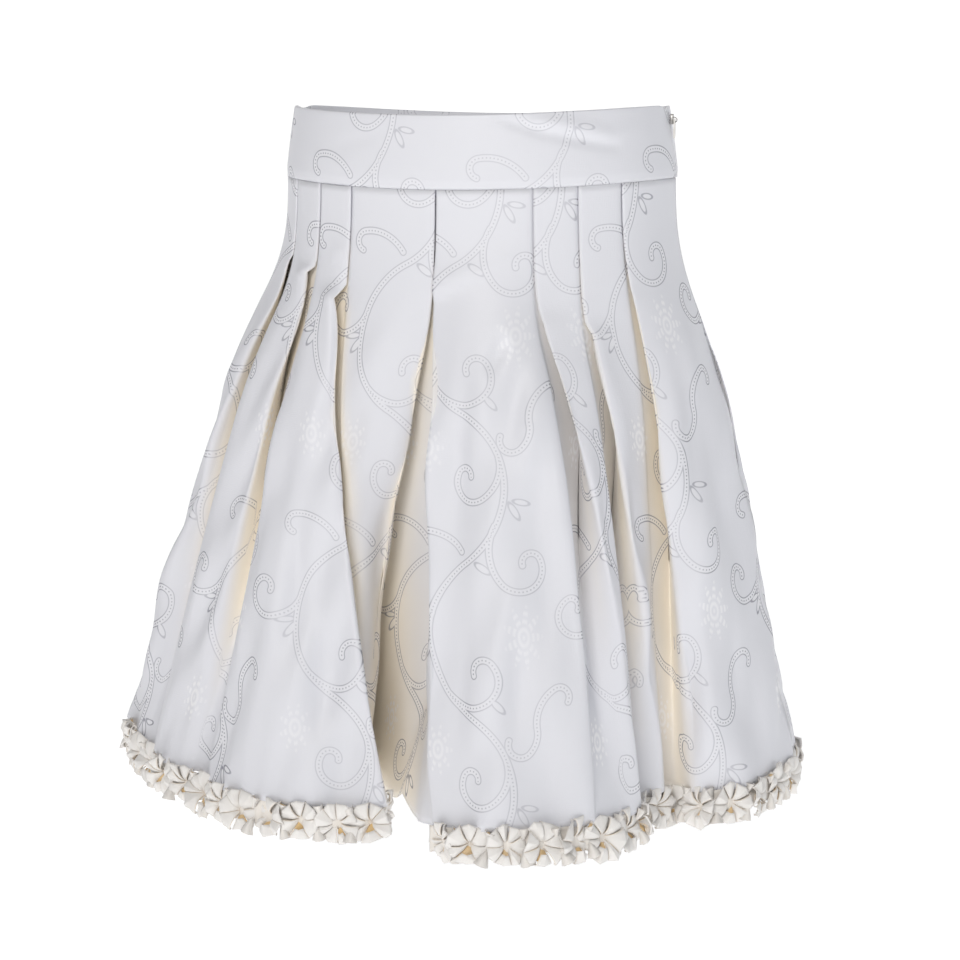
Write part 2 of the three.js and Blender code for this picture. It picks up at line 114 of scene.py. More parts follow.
# a mesh in metres from points in millimetres, with its cloth coordinates and the painted warm shade of each
# point
def clothMesh(name, points, faces, uv, paintedShade=0):
    mesh = bpy.data.meshes.new(name)
    mesh.from_pydata((np.asarray(points) * mm).tolist(), [], faces)
    mesh.shade_smooth()
    corners = np.zeros(len(mesh.loops), int)
    mesh.loops.foreach_get("vertex_index", corners)
    layer = mesh.uv_layers.new(name="clothUv")
    layer.data.foreach_set("uv", (np.asarray(uv) * mm)[corners].astype(np.float32).ravel())
    attribute = mesh.attributes.new("paintedShade", "FLOAT", "POINT")
    attribute.data.foreach_set("value", np.broadcast_to(paintedShade, len(points)).astype(np.float32))
    return linked(name, mesh)


def thicken(obj, wall, offset=0.0):
    shell = obj.modifiers.new("wall", "SOLIDIFY")
    shell.thickness = wall * mm
    shell.offset = offset


skirt = dict(
    # half width and half depth at the waist seam and the hip, and the share of the drop down to the hip
    waistSeam=(149, 107), hip=(166, 124), hipShare=0.42,
    seamZ=-26, dip=6.5, drop=446, layerPitch=1.8, wall=0.9, seamGap=0.3,
    rings=90, columnWidth=5.0, cornerSteps=4,
    # how the pleats turn: in degrees on the waist, then how they swing open and how their edges roll
    edgeTurn=0.3, lipWidth=0.6, startSoft=0.08, panelFree=0.13,
    innerSwing=(0.3, 0.8), shoulderSwing=(1.3, 0.45),
    innerRoll=0.7, rollOfRoll=0.5, rollOfArm=0.4, roundFrom=0.2, leastFall=0.6,
    # how far under a pleat its points lie, 0 to 1, and which columns are hidden by that
    deepMiddle=0.8, deepLip=0.45, deepShoulder=0.6, deepTurn=0.5, deepFrom=0.7,
    hiddenReach=13, hiddenFade=0.5, shownBelow=0.4,
    # the cloth behind the centre's inverted pleat, on the hem
    underlay=dict(front=(-28, 128), back=(0, 128)), underlayBow=dict(front=(14, -16), back=(0, 0)),
)


# A pleat: its place on the waist and how far it laps under, in degrees, the share of the drop that is
# stitched, its edge, inner turn and, of some, shoulder on the hem, and how it rolls and bows on the way.
def pleat(at, under, free, edge, inner, shoulder=None, roll=0, bow=(0, 0)):
    return dict(at=at, under=under, free=free, edge=edge, inner=inner, shoulder=shoulder, roll=roll, bow=bow)


# a point of the flat cloth between pleats: its place on the waist in degrees, then on the hem
def flatCloth(at, hem, bow=(0, 0)):
    return dict(at=at, hem=hem, free=skirt["panelFree"], bow=bow)


# each quarter from the centre line out
foldRows = dict(
    frontLeft=[
        pleat(0, 21, 0.2, edge=(22, 194), inner=(-14, 146), roll=4),
        flatCloth(9.5, (60, 207)),
        flatCloth(18.5, (104, 200)),
        pleat(27, 12.3, 0.19, edge=(160, 126), inner=(146, 146), shoulder=(134, 168), roll=8, bow=(12, 6)),
        pleat(40.5, 12.6, 0.22, edge=(164, 72), inner=(140, 92), shoulder=(150, 108), roll=8, bow=(8, 6)),
        pleat(56, 15, 0.13, edge=(186, 70), inner=(166, 44), shoulder=(158, 54), roll=12),
        flatCloth(66, (212, 64)),
        flatCloth(78, (236, 34)),
        flatCloth(90, (243, -14)),
    ],
    frontRight=[
        pleat(0, 21, 0.2, edge=(62, 100), inner=(72, 62), roll=8),
        flatCloth(13, (46, 134)),
        pleat(27, 12.3, 0.22, edge=(8, 192), inner=(20, 168), shoulder=(33, 154), roll=6, bow=(7, 4)),
        flatCloth(31, (42, 197)),
        flatCloth(35, (88, 208)),
        flatCloth(38, (130, 190)),
        pleat(40.5, 12.6, 0.19, edge=(188, 158), inner=(168, 154), shoulder=(158, 168), roll=18),
        flatCloth(48, (210, 142)),
        pleat(56, 15, 0.16, edge=(248, 106), inner=(226, 116), shoulder=(220, 128), roll=22, bow=(4, 2)),
        flatCloth(66, (266, 72), bow=(4, 2)),
        flatCloth(78, (275, 30), bow=(5, 0)),
        flatCloth(90, (276, -14), bow=(5, 0)),
    ],
    backLeft=[
        pleat(0, 21, 0.2, edge=(24, 192), inner=(20, 138), roll=6),
        flatCloth(13, (68, 204)),
        pleat(27, 12.3, 0.2, edge=(126, 176), inner=(100, 158), shoulder=(104, 186), roll=16),
        pleat(40.5, 12.6, 0.21, edge=(176, 140), inner=(146, 118), shoulder=(150, 150), roll=18),
        pleat(56, 15, 0.16, edge=(216, 98), inner=(186, 70), shoulder=(196, 108), roll=20),
        flatCloth(70, (236, 60)),
        flatCloth(90, (243, 14)),
    ],
    backRight=[
        pleat(0, 21, 0.2, edge=(24, 193), inner=(20, 138), roll=6),
        flatCloth(13, (70, 206)),
        pleat(27, 12.3, 0.2, edge=(122, 184), inner=(92, 160), shoulder=(100, 192), roll=18),
        pleat(40.5, 12.6, 0.21, edge=(180, 154), inner=(150, 126), shoulder=(154, 164), roll=18),
        pleat(56, 15, 0.16, edge=(230, 112), inner=(200, 82), shoulder=(208, 122), roll=20),
        flatCloth(70, (262, 66), bow=(4, 0)),
        flatCloth(90, (276, 14), bow=(5, 0)),
    ],
)


# how far a pleat has opened, 0 to 1, at a share of the drop: a soft start, then straight
def opening(v, free):
    soft = skirt["startSoft"]

    def lifted(y):
        if y <= -soft:
            return 0.0
        return y if y >= soft else (y + soft) ** 2 / (4 * soft)
    return lifted((v - free) / (1 - free)) / lifted(1.0)


# on the stitched body: degrees from the centre line, layers counted inwards
def bodyPoint(at, layer, v):
    k = float(ease(v / skirt["hipShare"]))
    a, b = (seam + (hip - seam) * k for seam, hip in zip(skirt["waistSeam"], skirt["hip"]))
    t = math.radians(at)
    n = np.array([math.sin(t) / a, math.cos(t) / b])
    return np.array([a * math.sin(t), b * math.cos(t)]) - n / np.hypot(*n) * layer * skirt["layerPitch"]


# one arm turns into another through the inside of the skirt
def swing(fromArm, toArm, e, how):
    slack, haste = how
    start = math.atan2(fromArm[1], fromArm[0])
    end = math.atan2(toArm[1], toArm[0])
    while end > start + slack:
        end -= 2 * math.pi
    while end < start + slack - 2 * math.pi:
        end += 2 * math.pi
    angle = start + (end - start) * e ** haste
    length = np.hypot(*fromArm) * (1 - e) + np.hypot(*toArm) * e
    return np.array([math.cos(angle), math.sin(angle)]) * length


# control points of a quarter at one height: [x, y, how deep under, number of the pleat's face]
def quarterNodes(rows, middle, middleBow, v):
    e = opening(v, rows[0]["free"])
    opened = np.array(middle) * e + np.array(middleBow) * 4 * e * (1 - e)
    path = [dict(p=bodyPoint(0, 2, v) * (1 - e) + opened, deep=skirt["deepMiddle"], face=0)]
    face = 0
    for row in rows:
        e = opening(v, row["free"])
        bow = np.array(row["bow"], float) * 4 * e * (1 - e)
        if "hem" in row:
            p = bodyPoint(row["at"], 0, v) * (1 - e) + np.array(row["hem"]) * e + bow
            path.append(dict(p=p, deep=0, face=face))
            continue
        flatEdge = bodyPoint(row["at"] + skirt["edgeTurn"], 0.5, v)
        edge = flatEdge * (1 - e) + np.array(row["edge"]) * e + bow
        if row["shoulder"]:
            hemArm = np.subtract(row["shoulder"], row["edge"])
            lip = bodyPoint(row["at"] - skirt["lipWidth"], 0, v) - flatEdge
            under = bodyPoint(row["at"], 2, v) - flatEdge
            shoulder = edge + swing(under, hemArm, e, skirt["shoulderSwing"])
            path.append(dict(p=edge + lip * (1 - e) + hemArm * e, deep=skirt["deepLip"], face=face))
            path.append(dict(p=shoulder, deep=skirt["deepShoulder"], face=face))
        innerArm = bodyPoint(row["at"] + row["under"], 1.5, v) - flatEdge
        inner = edge + swing(innerArm, np.subtract(row["inner"], row["edge"]), e, skirt["innerSwing"])
        path.append(dict(p=inner, open=e, at=row["at"] + row["under"], layers=(2, 1), deep=1,
                         roll=row["roll"] * skirt["innerRoll"], face=face))
        face += 1
        path.append(dict(p=edge, open=e, at=row["at"] + skirt["edgeTurn"], layers=(1, 0), deep=0,
                         roll=row["roll"], face=face))
    return splitTurns(path, v)


# each turn becomes two points, a layer apart when flat and rolled round when open
def splitTurns(path, v):
    out = []
    for i, node in enumerate(path):
        if "layers" not in node:
            out.append([*node["p"], node["deep"], node["face"]])
            continue
        flat = max(0, 1 - node["open"] / skirt["roundFrom"])
        middle = bodyPoint(node["at"], sum(node["layers"]) / 2, v)
        for side, other in enumerate((path[i - 1], path[i + 1])):
            arm = other["p"] - node["p"]
            length = np.hypot(*arm)
            reach = min(node["roll"] * skirt["rollOfRoll"] * node["open"], length * skirt["rollOfArm"])
            apart = (bodyPoint(node["at"], node["layers"][side], v) - middle) * flat
            p = node["p"] + apart + arm * reach / length
            isTurnBack = node["deep"] == 0 and side == 0
            out.append([*p, skirt["deepTurn"] if isTurnBack else node["deep"], node["face"]])
    return out


# both quarters of a panel in one line, from one side seam to the other
def panelNodes(side, v):
    facing = -1 if side == "front" else 1
    halves = []
    for hand, sign in (("Left", 1), ("Right", -1)):
        middle = np.multiply(skirt["underlay"][side], (sign, 1))
        bow = np.multiply(skirt["underlayBow"][side], (sign, 1))
        nodes = quarterNodes(foldRows[side + hand], middle, bow, v)
        halves.append([[sign * x, y * facing, deep, sign * face] for x, y, deep, face in nodes])
    left, right = halves
    return np.array(right[::-1] + left[1:] if side == "front" else left[::-1] + right[1:])


# rounds every corner of the control line with an arc of a quadratic spline
def rounded(nodes, steps):
    out = [nodes[0]]
    last = len(nodes) - 1
    for i in range(1, last):
        a = (nodes[i] + nodes[i - 1]) / 2 if i > 1 else nodes[0]
        b = (nodes[i] + nodes[i + 1]) / 2 if i < last - 1 else nodes[-1]
        for k in range(steps[i]):
            t = (k + 0.5) / steps[i]
            out.append((1 - t) ** 2 * a + 2 * t * (1 - t) * nodes[i] + t * t * b)
    out.append(nodes[-1])
    return np.array(out)


# The middle surface of a panel: its points in rings, how hidden each column is, the control point and
# the pleat's face that a column belongs to, and cloth coordinates.
def panelSurface(side):
    shares = np.linspace(0, 1, skirt["rings"])
    control = [panelNodes(side, v) for v in shares]
    hem = control[-1][:, :2]
    steps = [skirt["cornerSteps"]] * len(hem)
    for i in range(1, len(hem) - 1):
        width = (np.hypot(*(hem[i] - hem[i - 1])) + np.hypot(*(hem[i + 1] - hem[i]))) / 2
        steps[i] = max(skirt["cornerSteps"], math.ceil(width / skirt["columnWidth"]))
    nodeOf = np.array([0] + [i for i in range(1, len(hem) - 1) for _ in range(steps[i])] + [len(hem) - 1])
    plan = np.array([rounded(c, steps) for c in control])[:, :, :2]
    arc = alongLine(plan[-1])
    deep = arc[control[-1][nodeOf, 2] > skirt["deepFrom"]]
    hidden = np.exp(-(np.abs(arc[:, None] - deep[None]).min(axis=1) / skirt["hiddenReach"]) ** 2)
    z = np.zeros(plan.shape[:2])
    sideShare = np.clip(np.abs(plan[0, :, 0]) / skirt["waistSeam"][0], 0, 1)
    z[0] = skirt["seamZ"] - skirt["dip"] * (1 - sideShare ** 2) - skirt["seamGap"] / 2
    for j in range(1, len(shares)):
        run = skirt["drop"] * (shares[j] - shares[j - 1])
        slide = np.hypot(*(plan[j] - plan[j - 1]).T)
        z[j] = z[j - 1] - np.sqrt(np.maximum(run * run - slide * slide, (run * skirt["leastFall"]) ** 2))
    surface = dict(points=np.dstack([plan, z]), hidden=hidden, face=control[-1][nodeOf, 3], shares=shares,
                   nodeOf=nodeOf)
    surface["uv"] = clothCoordinates(surface)
    return surface


# cloth coordinates in mm: across from the middle of each pleat's face, down from the waist seam
def clothCoordinates(surface):
    points, face = surface["points"], surface["face"]
    arcs = np.array([alongLine(ring) for ring in points])
    hemArc = arcs[-1] - arcs[-1][len(arcs[-1]) // 2]
    u = np.zeros_like(arcs)
    for number in np.unique(face):
        own = np.flatnonzero(face == number)
        shown = own[surface["hidden"][own] < skirt["shownBelow"]]
        row = shown if len(shown) else own
        anchor = row[len(row) // 2]
        u[:, own] = hemArc[anchor] + arcs[:, own] - arcs[:, anchor:anchor + 1]
    down = np.repeat(surface["shares"][:, None] * skirt["drop"], points.shape[1], axis=1)
    return np.dstack([u, down])


def gridNormals(points):
    return unit(np.cross(np.gradient(points, axis=0), np.gradient(points, axis=1)))


hollow = dict(
    rays=9, spread=70, reach=75, clear=0.8,      # in degrees to each side and mm
    every=3, passes=3,                           # rings between two that are worked out, and smoothings
    least=0.1, most=0.8, start=0.04, rise=0.2,   # where the painted warm shade begins and is full, and down the drop
)
paintedShadeByFace = dict(front={-3: 1.5, -2: 1.4, -1: 1.5, 1: 0.4, 2: 0.6}, back={})   # how strong the painted warm shade is by face, 1 where not named


# How closed in the cloth is, 0 to 1: rays cast level from a ring's own cloth, outwards, and what they meet.
def closedIn(points, normals):
    angles = np.radians(np.linspace(-hollow["spread"], hollow["spread"], hollow["rays"]))
    weights = np.cos(angles)
    drawn = np.arange(0, len(points), hollow["every"])
    found = []
    for ring in drawn:
        place, out = points[ring, :, :2], unit(normals[ring, :, :2])
        start, way = place[:-1], np.diff(place, axis=0)
        away = start[None] - (place + out * hollow["clear"])[:, None]
        total = np.zeros(len(place))
        for angle, weight in zip(angles, weights):
            ray = out @ np.array([[math.cos(angle), math.sin(angle)], [-math.sin(angle), math.cos(angle)]])
            cross = cross2(ray[:, None], way[None])
            cross = np.where(np.abs(cross) < tiny, tiny, cross)
            far = cross2(away, way[None]) / cross
            along = cross2(away, ray[:, None]) / cross
            met = np.where((far > 0) & (along >= 0) & (along <= 1), far, np.inf).min(axis=1)
            total += weight * np.exp(-met / hollow["reach"])
        found.append(total / weights.sum())
    rings = np.arange(len(points))
    columns = np.array([np.interp(rings, drawn, column) for column in np.array(found).T])
    return softened(columns, hollow["passes"]).T


# A crease in cloth coordinates: where it starts and ends, how wide, and how deep, more than 0 for a ridge.
# A ledge lifts the cloth slowly over a length "above" its line and drops it there, or lifts it at the
# line and lets it come back over a length "below".
def crease(start, end, width, depth, above=None, below=None):
    return dict(start=start, end=end, width=width, depth=depth, above=above, below=below)


creases = dict(
    front=[
        # ledges and hollows where the pleats' stitching ends
        crease((170, 78), (212, 58), 7, 3.6, above=15),
        crease((206, 61), (246, 46), 7, 2.8, above=13),
        crease((229, 106), (216, 130), 6, -2.6),
        crease((336, 44), (354, 86), 9, -2.4),
        crease((-222, 52), (-196, 44), 6, 3.4, above=12),
        crease((-192, 96), (-184, 190), 9, -3.2),
        crease((-372, 66), (-352, 58), 6, 2.0, below=24),
        # long soft folds: the centre panel
        crease((191, 170), (182, 410), 13, -4.6),
        crease((219, 150), (210, 380), 13, 4.0),
        crease((254, 210), (245, 430), 15, -4.4),
        crease((276, 240), (300, 430), 12, 3.4),
        crease((229, 300), (233, 446), 10, -2.4),
        # the right and left of it
        crease((487, 120), (478, 340), 13, 3.6),
        crease((471, 300), (463, 444), 13, -4.6),
        crease((521, 230), (512, 420), 15, -4.2),
        crease((548, 170), (553, 436), 13, 3.4),
        crease((-206, 230), (-196, 440), 13, -4.8),
        crease((-253, 240), (-242, 444), 15, 4.4),
        crease((-228, 240), (-220, 436), 10, -2.6),
        crease((-178, 240), (-166, 420), 10, 2.8),
        crease((-289, 230), (-297, 436), 13, -4.4),
        crease((-367, 170), (-360, 400), 12, -3.4),
        crease((-388, 140), (-393, 330), 10, 2.6),
        crease((-434, 210), (-447, 440), 15, 4.0),
        crease((-470, 180), (-484, 436), 14, -4.0),
        crease((-517, 220), (-525, 436), 14, 3.4),
        crease((-82, 110), (-73, 370), 12, 2.8),
        crease((-56, 190), (-50, 400), 10, -2.8),
    ],
    back=[
        crease((-60, 90), (-24, 72), 7, -2.6, below=28),
        crease((70, 96), (26, 78), 8, 2.4),
        crease((-84, 160), (-92, 430), 14, -4.4),
        crease((60, 190), (74, 436), 15, -4.0),
        crease((128, 150), (140, 400), 13, 3.4),
        crease((-150, 210), (-158, 440), 14, 3.8),
        crease((-206, 180), (-198, 400), 12, -3.2),
        crease((196, 230), (204, 436), 13, -3.6),
        crease((250, 180), (262, 430), 14, 3.6),
        crease((-262, 150), (-280, 420), 15, -4.0),
        crease((312, 160), (322, 400), 13, -3.6),
        crease((360, 190), (372, 436), 13, 3.2),
        crease((-318, 200), (-326, 436), 13, 3.4),
        crease((-372, 220), (-384, 436), 14, -3.6),
        crease((418, 180), (430, 420), 14, -3.8),
        crease((-432, 170), (-440, 410), 13, 3.2),
    ],
)
creaseTaper = dict(stretch=0.9, start=0.05, power=0.7)


def creaseHeights(uv, rows):
    height = np.zeros(uv.shape[:2])
    for row in rows:
        start = np.array(row["start"], float)
        way = np.array(row["end"], float) - start
        share = (uv - start) @ way / (way @ way)
        taper = np.clip(share * creaseTaper["stretch"] + creaseTaper["start"], 0, 1) * math.pi
        taper = np.sin(taper) ** creaseTaper["power"]
        side = cross2(way, uv - start) / np.hypot(*way)
        step = ease(side / row["width"] + 0.5)
        if row["below"]:
            form = step * np.exp(-np.maximum(side, 0) / row["below"])
        elif row["above"]:
            form = (1 - step) * np.exp(np.minimum(side, 0) / row["above"])
        else:
            foot = start + np.clip(share, 0, 1)[..., None] * way
            form = np.exp(-(np.linalg.norm(uv - foot, axis=2) / row["width"]) ** 2)
        height += row["depth"] * taper * form
    return height


# slow uneven swells of the cloth: lengths and heights of crossing waves, two of each
swell = dict(
    waves=((140, 0.8), (85, 0.7), (52, 0.75), (33, 0.5), (20, 0.16)),
    turn=0.55, gain=1.5, seeds=dict(front=3, back=8),
)


def swells(uv, seed):
    dice = random.Random(seed)
    out = np.zeros(uv.shape[:2])
    for length, amount in swell["waves"]:
        for _ in range(2):
            angle = dice.uniform(-swell["turn"], swell["turn"])
            phase = dice.uniform(0, 2 * math.pi)
            place = uv[..., 0] * math.cos(angle) + uv[..., 1] * math.sin(angle)
            out += amount * np.sin(place * 2 * math.pi / length + phase)
    return out


# Where a pleat's stitching ends its edge springs back and puffs up: face, distance down, how far back and up.
releases = dict(
    front=[
        (-2, 73, 10, 4), (-3, 59, 7, 3), (-4, 57, 2.5, 2),
        (2, 88, 1, 1.5), (3, 98, 4, 2.5), (4, 76, 0, 1),
    ],
    back=[
        (-2, 90, 5, 2.5), (-3, 96, 6, 3), (-4, 74, 4, 2),
        (2, 84, 7, 3), (3, 92, 4, 2), (4, 70, 5, 2.5),
    ],
)
release = dict(width=15, onset=5, reach=44, wayColumn=5, outColumn=3)


def releaseShift(points, normals, surface, rows):
    shift = np.zeros_like(points)
    arcs = np.array([alongLine(ring) for ring in points])
    down = (surface["shares"] * skirt["drop"])[:, None]
    for face, onsetDown, back, up in rows:
        own = np.flatnonzero((surface["face"] == face) & (surface["hidden"] < skirt["shownBelow"]))
        ends = (own[0], own[-1])
        towardMiddle = abs(surface["uv"][-1, ends[0], 0]) < abs(surface["uv"][-1, ends[1], 0])
        edge, inward = (ends[0], 1) if towardMiddle else (ends[1], -1)
        near = np.exp(-(np.abs(arcs - arcs[:, edge:edge + 1]) / release["width"]) ** 2)
        past = down - onsetDown
        amount = ease(past / release["onset"]) * np.exp(-np.maximum(past, 0) / release["reach"])
        way = points[:, edge + release["wayColumn"] * inward] - points[:, edge]
        way[:, 2] = 0
        out = normals[:, edge + release["outColumn"] * inward]
        shift += (near * amount)[..., None] * (unit(way) * back + out * up)[:, None]
    return shift


# shares of the drop where creases and swells begin, and how deep they may go
relief = dict(creaseStart=0.08, creaseRise=0.06, swellStart=0.16, swellRise=0.25, deepest=7, slack=0.2)
stitchRow = dict(above=7.5, width=1.0, depth=0.45)   # the line that holds the hem's turning


def buildSkirtPanel(side, surface):
    points, uv = surface["points"], surface["uv"]
    shares = surface["shares"][:, None]
    shown = 1 - ease(surface["hidden"] / skirt["hiddenFade"])
    freed = ease((shares - relief["swellStart"]) / relief["swellRise"])
    heights = creaseHeights(uv, creases[side]) * ease((shares - relief["creaseStart"]) / relief["creaseRise"])
    heights += swells(uv, swell["seeds"][side]) * freed * swell["gain"]
    heights = np.maximum(heights, -relief["deepest"] * freed - relief["slack"]) * shown
    hemDistance = np.abs(uv[..., 1] - (skirt["drop"] - stitchRow["above"]))
    heights -= stitchRow["depth"] * np.exp(-(hemDistance / stitchRow["width"]) ** 2)
    normals = gridNormals(points)
    moved = points + normals * heights[..., None] + releaseShift(points, normals, surface, releases[side])
    moved[0] = points[0]
    for end, step in ((0, 1), (-1, -1)):
        moved[:, end] += unit(moved[:, end + step] - moved[:, end]) * skirt["seamGap"] / 2
    # painted light and shade: the more closed in the cloth is, the more of the warm fold colour it gets,
    # standing in for light bounced and shaded inside the folds
    closed = closedIn(moved, gridNormals(moved))
    paintedShade = ease((closed - hollow["least"]) / (hollow["most"] - hollow["least"]))
    paintedShade *= ease((shares - hollow["start"]) / hollow["rise"])
    paintedShade = np.minimum(paintedShade * np.array([paintedShadeByFace[side].get(int(f), 1) for f in surface["face"]]), 1)
    name = "skirtPanel" + side.capitalize()
    faces = gridFaces(*moved.shape[:2])
    obj = clothMesh(name, moved.reshape(-1, 3), faces, uv.reshape(-1, 2), paintedShade.ravel())
    thicken(obj, skirt["wall"])
    return obj


surfaces = {side: panelSurface(side) for side in ("front", "back")}
panels = {side: buildSkirtPanel(side, surfaces[side]) for side in ("front", "back")}
print("skirt done,", [surface["points"].shape[:2] for surface in surfaces.values()], "rings and columns")


band = dict(
    top=(141.5, 102.2), seam=(149, 107), topZ=26, seamZ=-26, dip=6.5, wall=2.6, proud=0.9,
    cornerDrop=2.2, cornerFrom=80, across=150, down=22, belly=0.35, tuck=1.0, tuckFrom=0.86, seamGap=0.3,
    foldsFrom=0.1, foldsTo=0.12, measuredIn=60,
)
bandHeight = band["topZ"] - band["seamZ"]
bandFolds = dict(
    front=[
        crease((44, 2), (78, 15), 3.4, -1.9),
        crease((70, 12), (132, 27), 3.8, -2.2),
        crease((60, 2), (124, 17), 6, 1.8),
        crease((-34, 43), (112, 43), 1.4, -0.3),
        crease((-120, 30), (-60, 38), 6, 0.45),
        crease((-40, 12), (-86, 26), 5, -0.4),
        crease((110, 20), (150, 14), 5, 0.5),
    ],
    back=[
        crease((-30, 14), (-90, 28), 5, 0.7),
        crease((20, 30), (84, 22), 6, 0.6),
        crease((100, 12), (150, 26), 5, -0.5),
        crease((-104, 34), (-150, 28), 6, 0.5),
    ],
)


# on the band at some degrees from the centre line and a share of its height, down: points and ways out
def bandPoint(at, share):
    a, b = (top + (seam - top) * share for top, seam in zip(band["top"], band["seam"]))
    t = np.radians(at)
    z = band["topZ"] - bandHeight * share - band["dip"] * np.cos(t) ** 2
    nearSeam = (np.abs(at) - band["cornerFrom"]) / (90 - band["cornerFrom"])
    z = z - band["cornerDrop"] * ease(nearSeam) * (1 - share)
    return np.stack([a * np.sin(t), b * np.cos(t), z], -1), unit(np.stack([np.sin(t) / a, np.cos(t) / b], -1))


# closed section of the band: share of its height, how far out, and how far up from there
def bandSection():
    half = band["wall"] / 2
    middle = band["proud"] - half
    section = []
    for s in np.linspace(1, half / bandHeight, band["down"]):
        tuck = band["tuck"] * ease((s - band["tuckFrom"]) / (1 - band["tuckFrom"]))
        section.append((s, band["proud"] - tuck, 0))
    for angle in (60, 30, 0, -30, -60):
        t = math.radians(angle)
        section.append((half / bandHeight, middle + half * math.sin(t), half * math.cos(t)))
    section += [(s, middle - half, 0) for s in np.linspace(half / bandHeight, 1, band["down"] // 2)]
    return section


def buildBand(side):
    angles = np.linspace(-90, 90, band["across"])
    if side == "back":
        angles = angles[::-1]
    arc = alongLine(bandPoint(angles, 0.5)[0])
    arc -= arc[-1] / 2
    rows, uvs = [], []
    for share, out, up in bandSection():
        p, n = bandPoint(angles, share)
        uv = np.stack([arc, np.full(len(angles), share * bandHeight)], -1)
        if out > 0:
            fold = creaseHeights(uv[None], bandFolds[side])[0] + band["belly"] * math.sin(math.pi * share)
            out = out + fold * ease((1 - share) / band["foldsTo"]) * ease(share / band["foldsFrom"])
        p[:, :2] += n * np.reshape(out, (-1, 1))
        p[:, 2] += up + (band["seamGap"] / 2 if share == 1 else 0)
        p[:, 1] *= -1 if side == "front" else 1
        p[[0, -1], 0] -= np.copysign(band["seamGap"] / 2, p[[0, -1], 0])
        rows.append(p)
        uvs.append(uv)
    loops = np.array(rows).transpose(1, 0, 2)
    across, around = loops.shape[:2]
    faces = gridFaces(across, around, closed=True)
    faces.append(tuple(range(around)))
    faces.append(tuple((across - 1) * around + k for k in reversed(range(around))))
    uv = np.array(uvs).transpose(1, 0, 2).reshape(-1, 2)
    obj = clothMesh("waistband" + side.capitalize(), loops.reshape(-1, 3), faces, uv)
    bm = bmesh.new()
    bm.from_mesh(obj.data)
    bmesh.ops.recalc_face_normals(bm, faces=bm.faces)
    bm.to_mesh(obj.data)
    bm.free()
    return obj


bands = {side: buildBand(side) for side in ("front", "back")}
print("waistband done")


trim = dict(
    pitch=24.6, radius=15.8, height=29, overlap=4.5, forward=2.6, alternate=(-0.5, 0.9), wall=0.4,
    pathStep=6, smoothing=8, lookAhead=4, level=0.8, fullness=2.1, stripWidth=34, seeds=40,
)
trimRuns = [
    dict(side="front", hand="right", first=True, skip=8),
    dict(side="front", hand="left", first=False, skip=4),
    dict(side="back", hand="left", first=True, skip=4),
    dict(side="back", hand="right", first=False, skip=4),
]


# a stretch of the hem, from the control points beside its middle, in even steps and smoothed
def trimPath(run):
    surface = surfaces[run["side"]]
    hem, nodeOf = surface["points"][-1], surface["nodeOf"]
    firstQuarter = foldRows["frontRight" if run["side"] == "front" else "backLeft"]
    middle = len(quarterNodes(firstQuarter, skirt["underlay"][run["side"]], (0, 0), 1)) - 1
    stretch = hem[nodeOf <= middle - run["skip"]] if run["first"] else hem[nodeOf >= middle + run["skip"]]
    s = alongLine(stretch)
    where = np.linspace(0, s[-1], round(s[-1] / trim["pathStep"]) + 1)
    return softened(pointsAlong(stretch, where, s), trim["smoothing"])


# place, way along and way out at a distance along a path
def pathFrame(path, s):
    along = alongLine(path)
    s = min(max(s, 0), along[-1])
    where = [s, min(s + trim["lookAhead"], along[-1]), max(s - trim["lookAhead"], 0)]
    at, ahead, behind = pointsAlong(path, where, along)
    way = unit((ahead - behind) * np.array([1, 1, trim["level"]]))
    return at, way, unit(np.array([way[1], -way[0], 0]))


# several pieces of one mesh as one: points, faces and warmth
def pieced(parts):
    points, faces, paintedShade = [], [], []
    start = 0
    for ownPoints, ownFaces, ownShade in parts:
        points.append(ownPoints)
        faces += [tuple(start + v for v in f) for f in ownFaces]
        paintedShade += list(ownShade)
        start += len(ownPoints)
    return np.concatenate(points), faces, paintedShade


# a value as it is, or drawn from a range
def drawn(dice, value):
    return dice.uniform(*value) if isinstance(value, tuple) else value


# a facet's rows: share of its reach, and how far its edge has turned under; then its columns
facetRows = (
    (0.05, 0), (0.14, 0), (0.26, 0), (0.42, 0), (0.6, 0), (0.78, 0), (0.92, 0),
    (1.0, 0.4), (0.98, 1.3), (0.9, 2.2),
)
facetColumns = (0, 0.03, 0.08, 0.22, 0.4, 0.47, 0.5, 0.53, 0.6, 0.78, 0.92, 0.97, 1)
facetForm = dict(
    crown=1.8, crownTurn=0.85, pinch=4.6, pinchReach=0.22, tiltTurn=0.8,
    creaseDepth=1.35, creaseShare=0.07, creaseStart=0.4, lipReach=0.16,
    # painted shade along the facets' creases and in the pinched middle
    creaseShade=0.65, creaseFade=1.1, middleShade=0.25, middleReach=0.12,
)
facetLook = dict(size=(0.9, 1.06), tip=(0, 0.26), ridge=(0.6, 3.8), tilt=(0.8, 4.2), lift=(-1.4, 1.6))
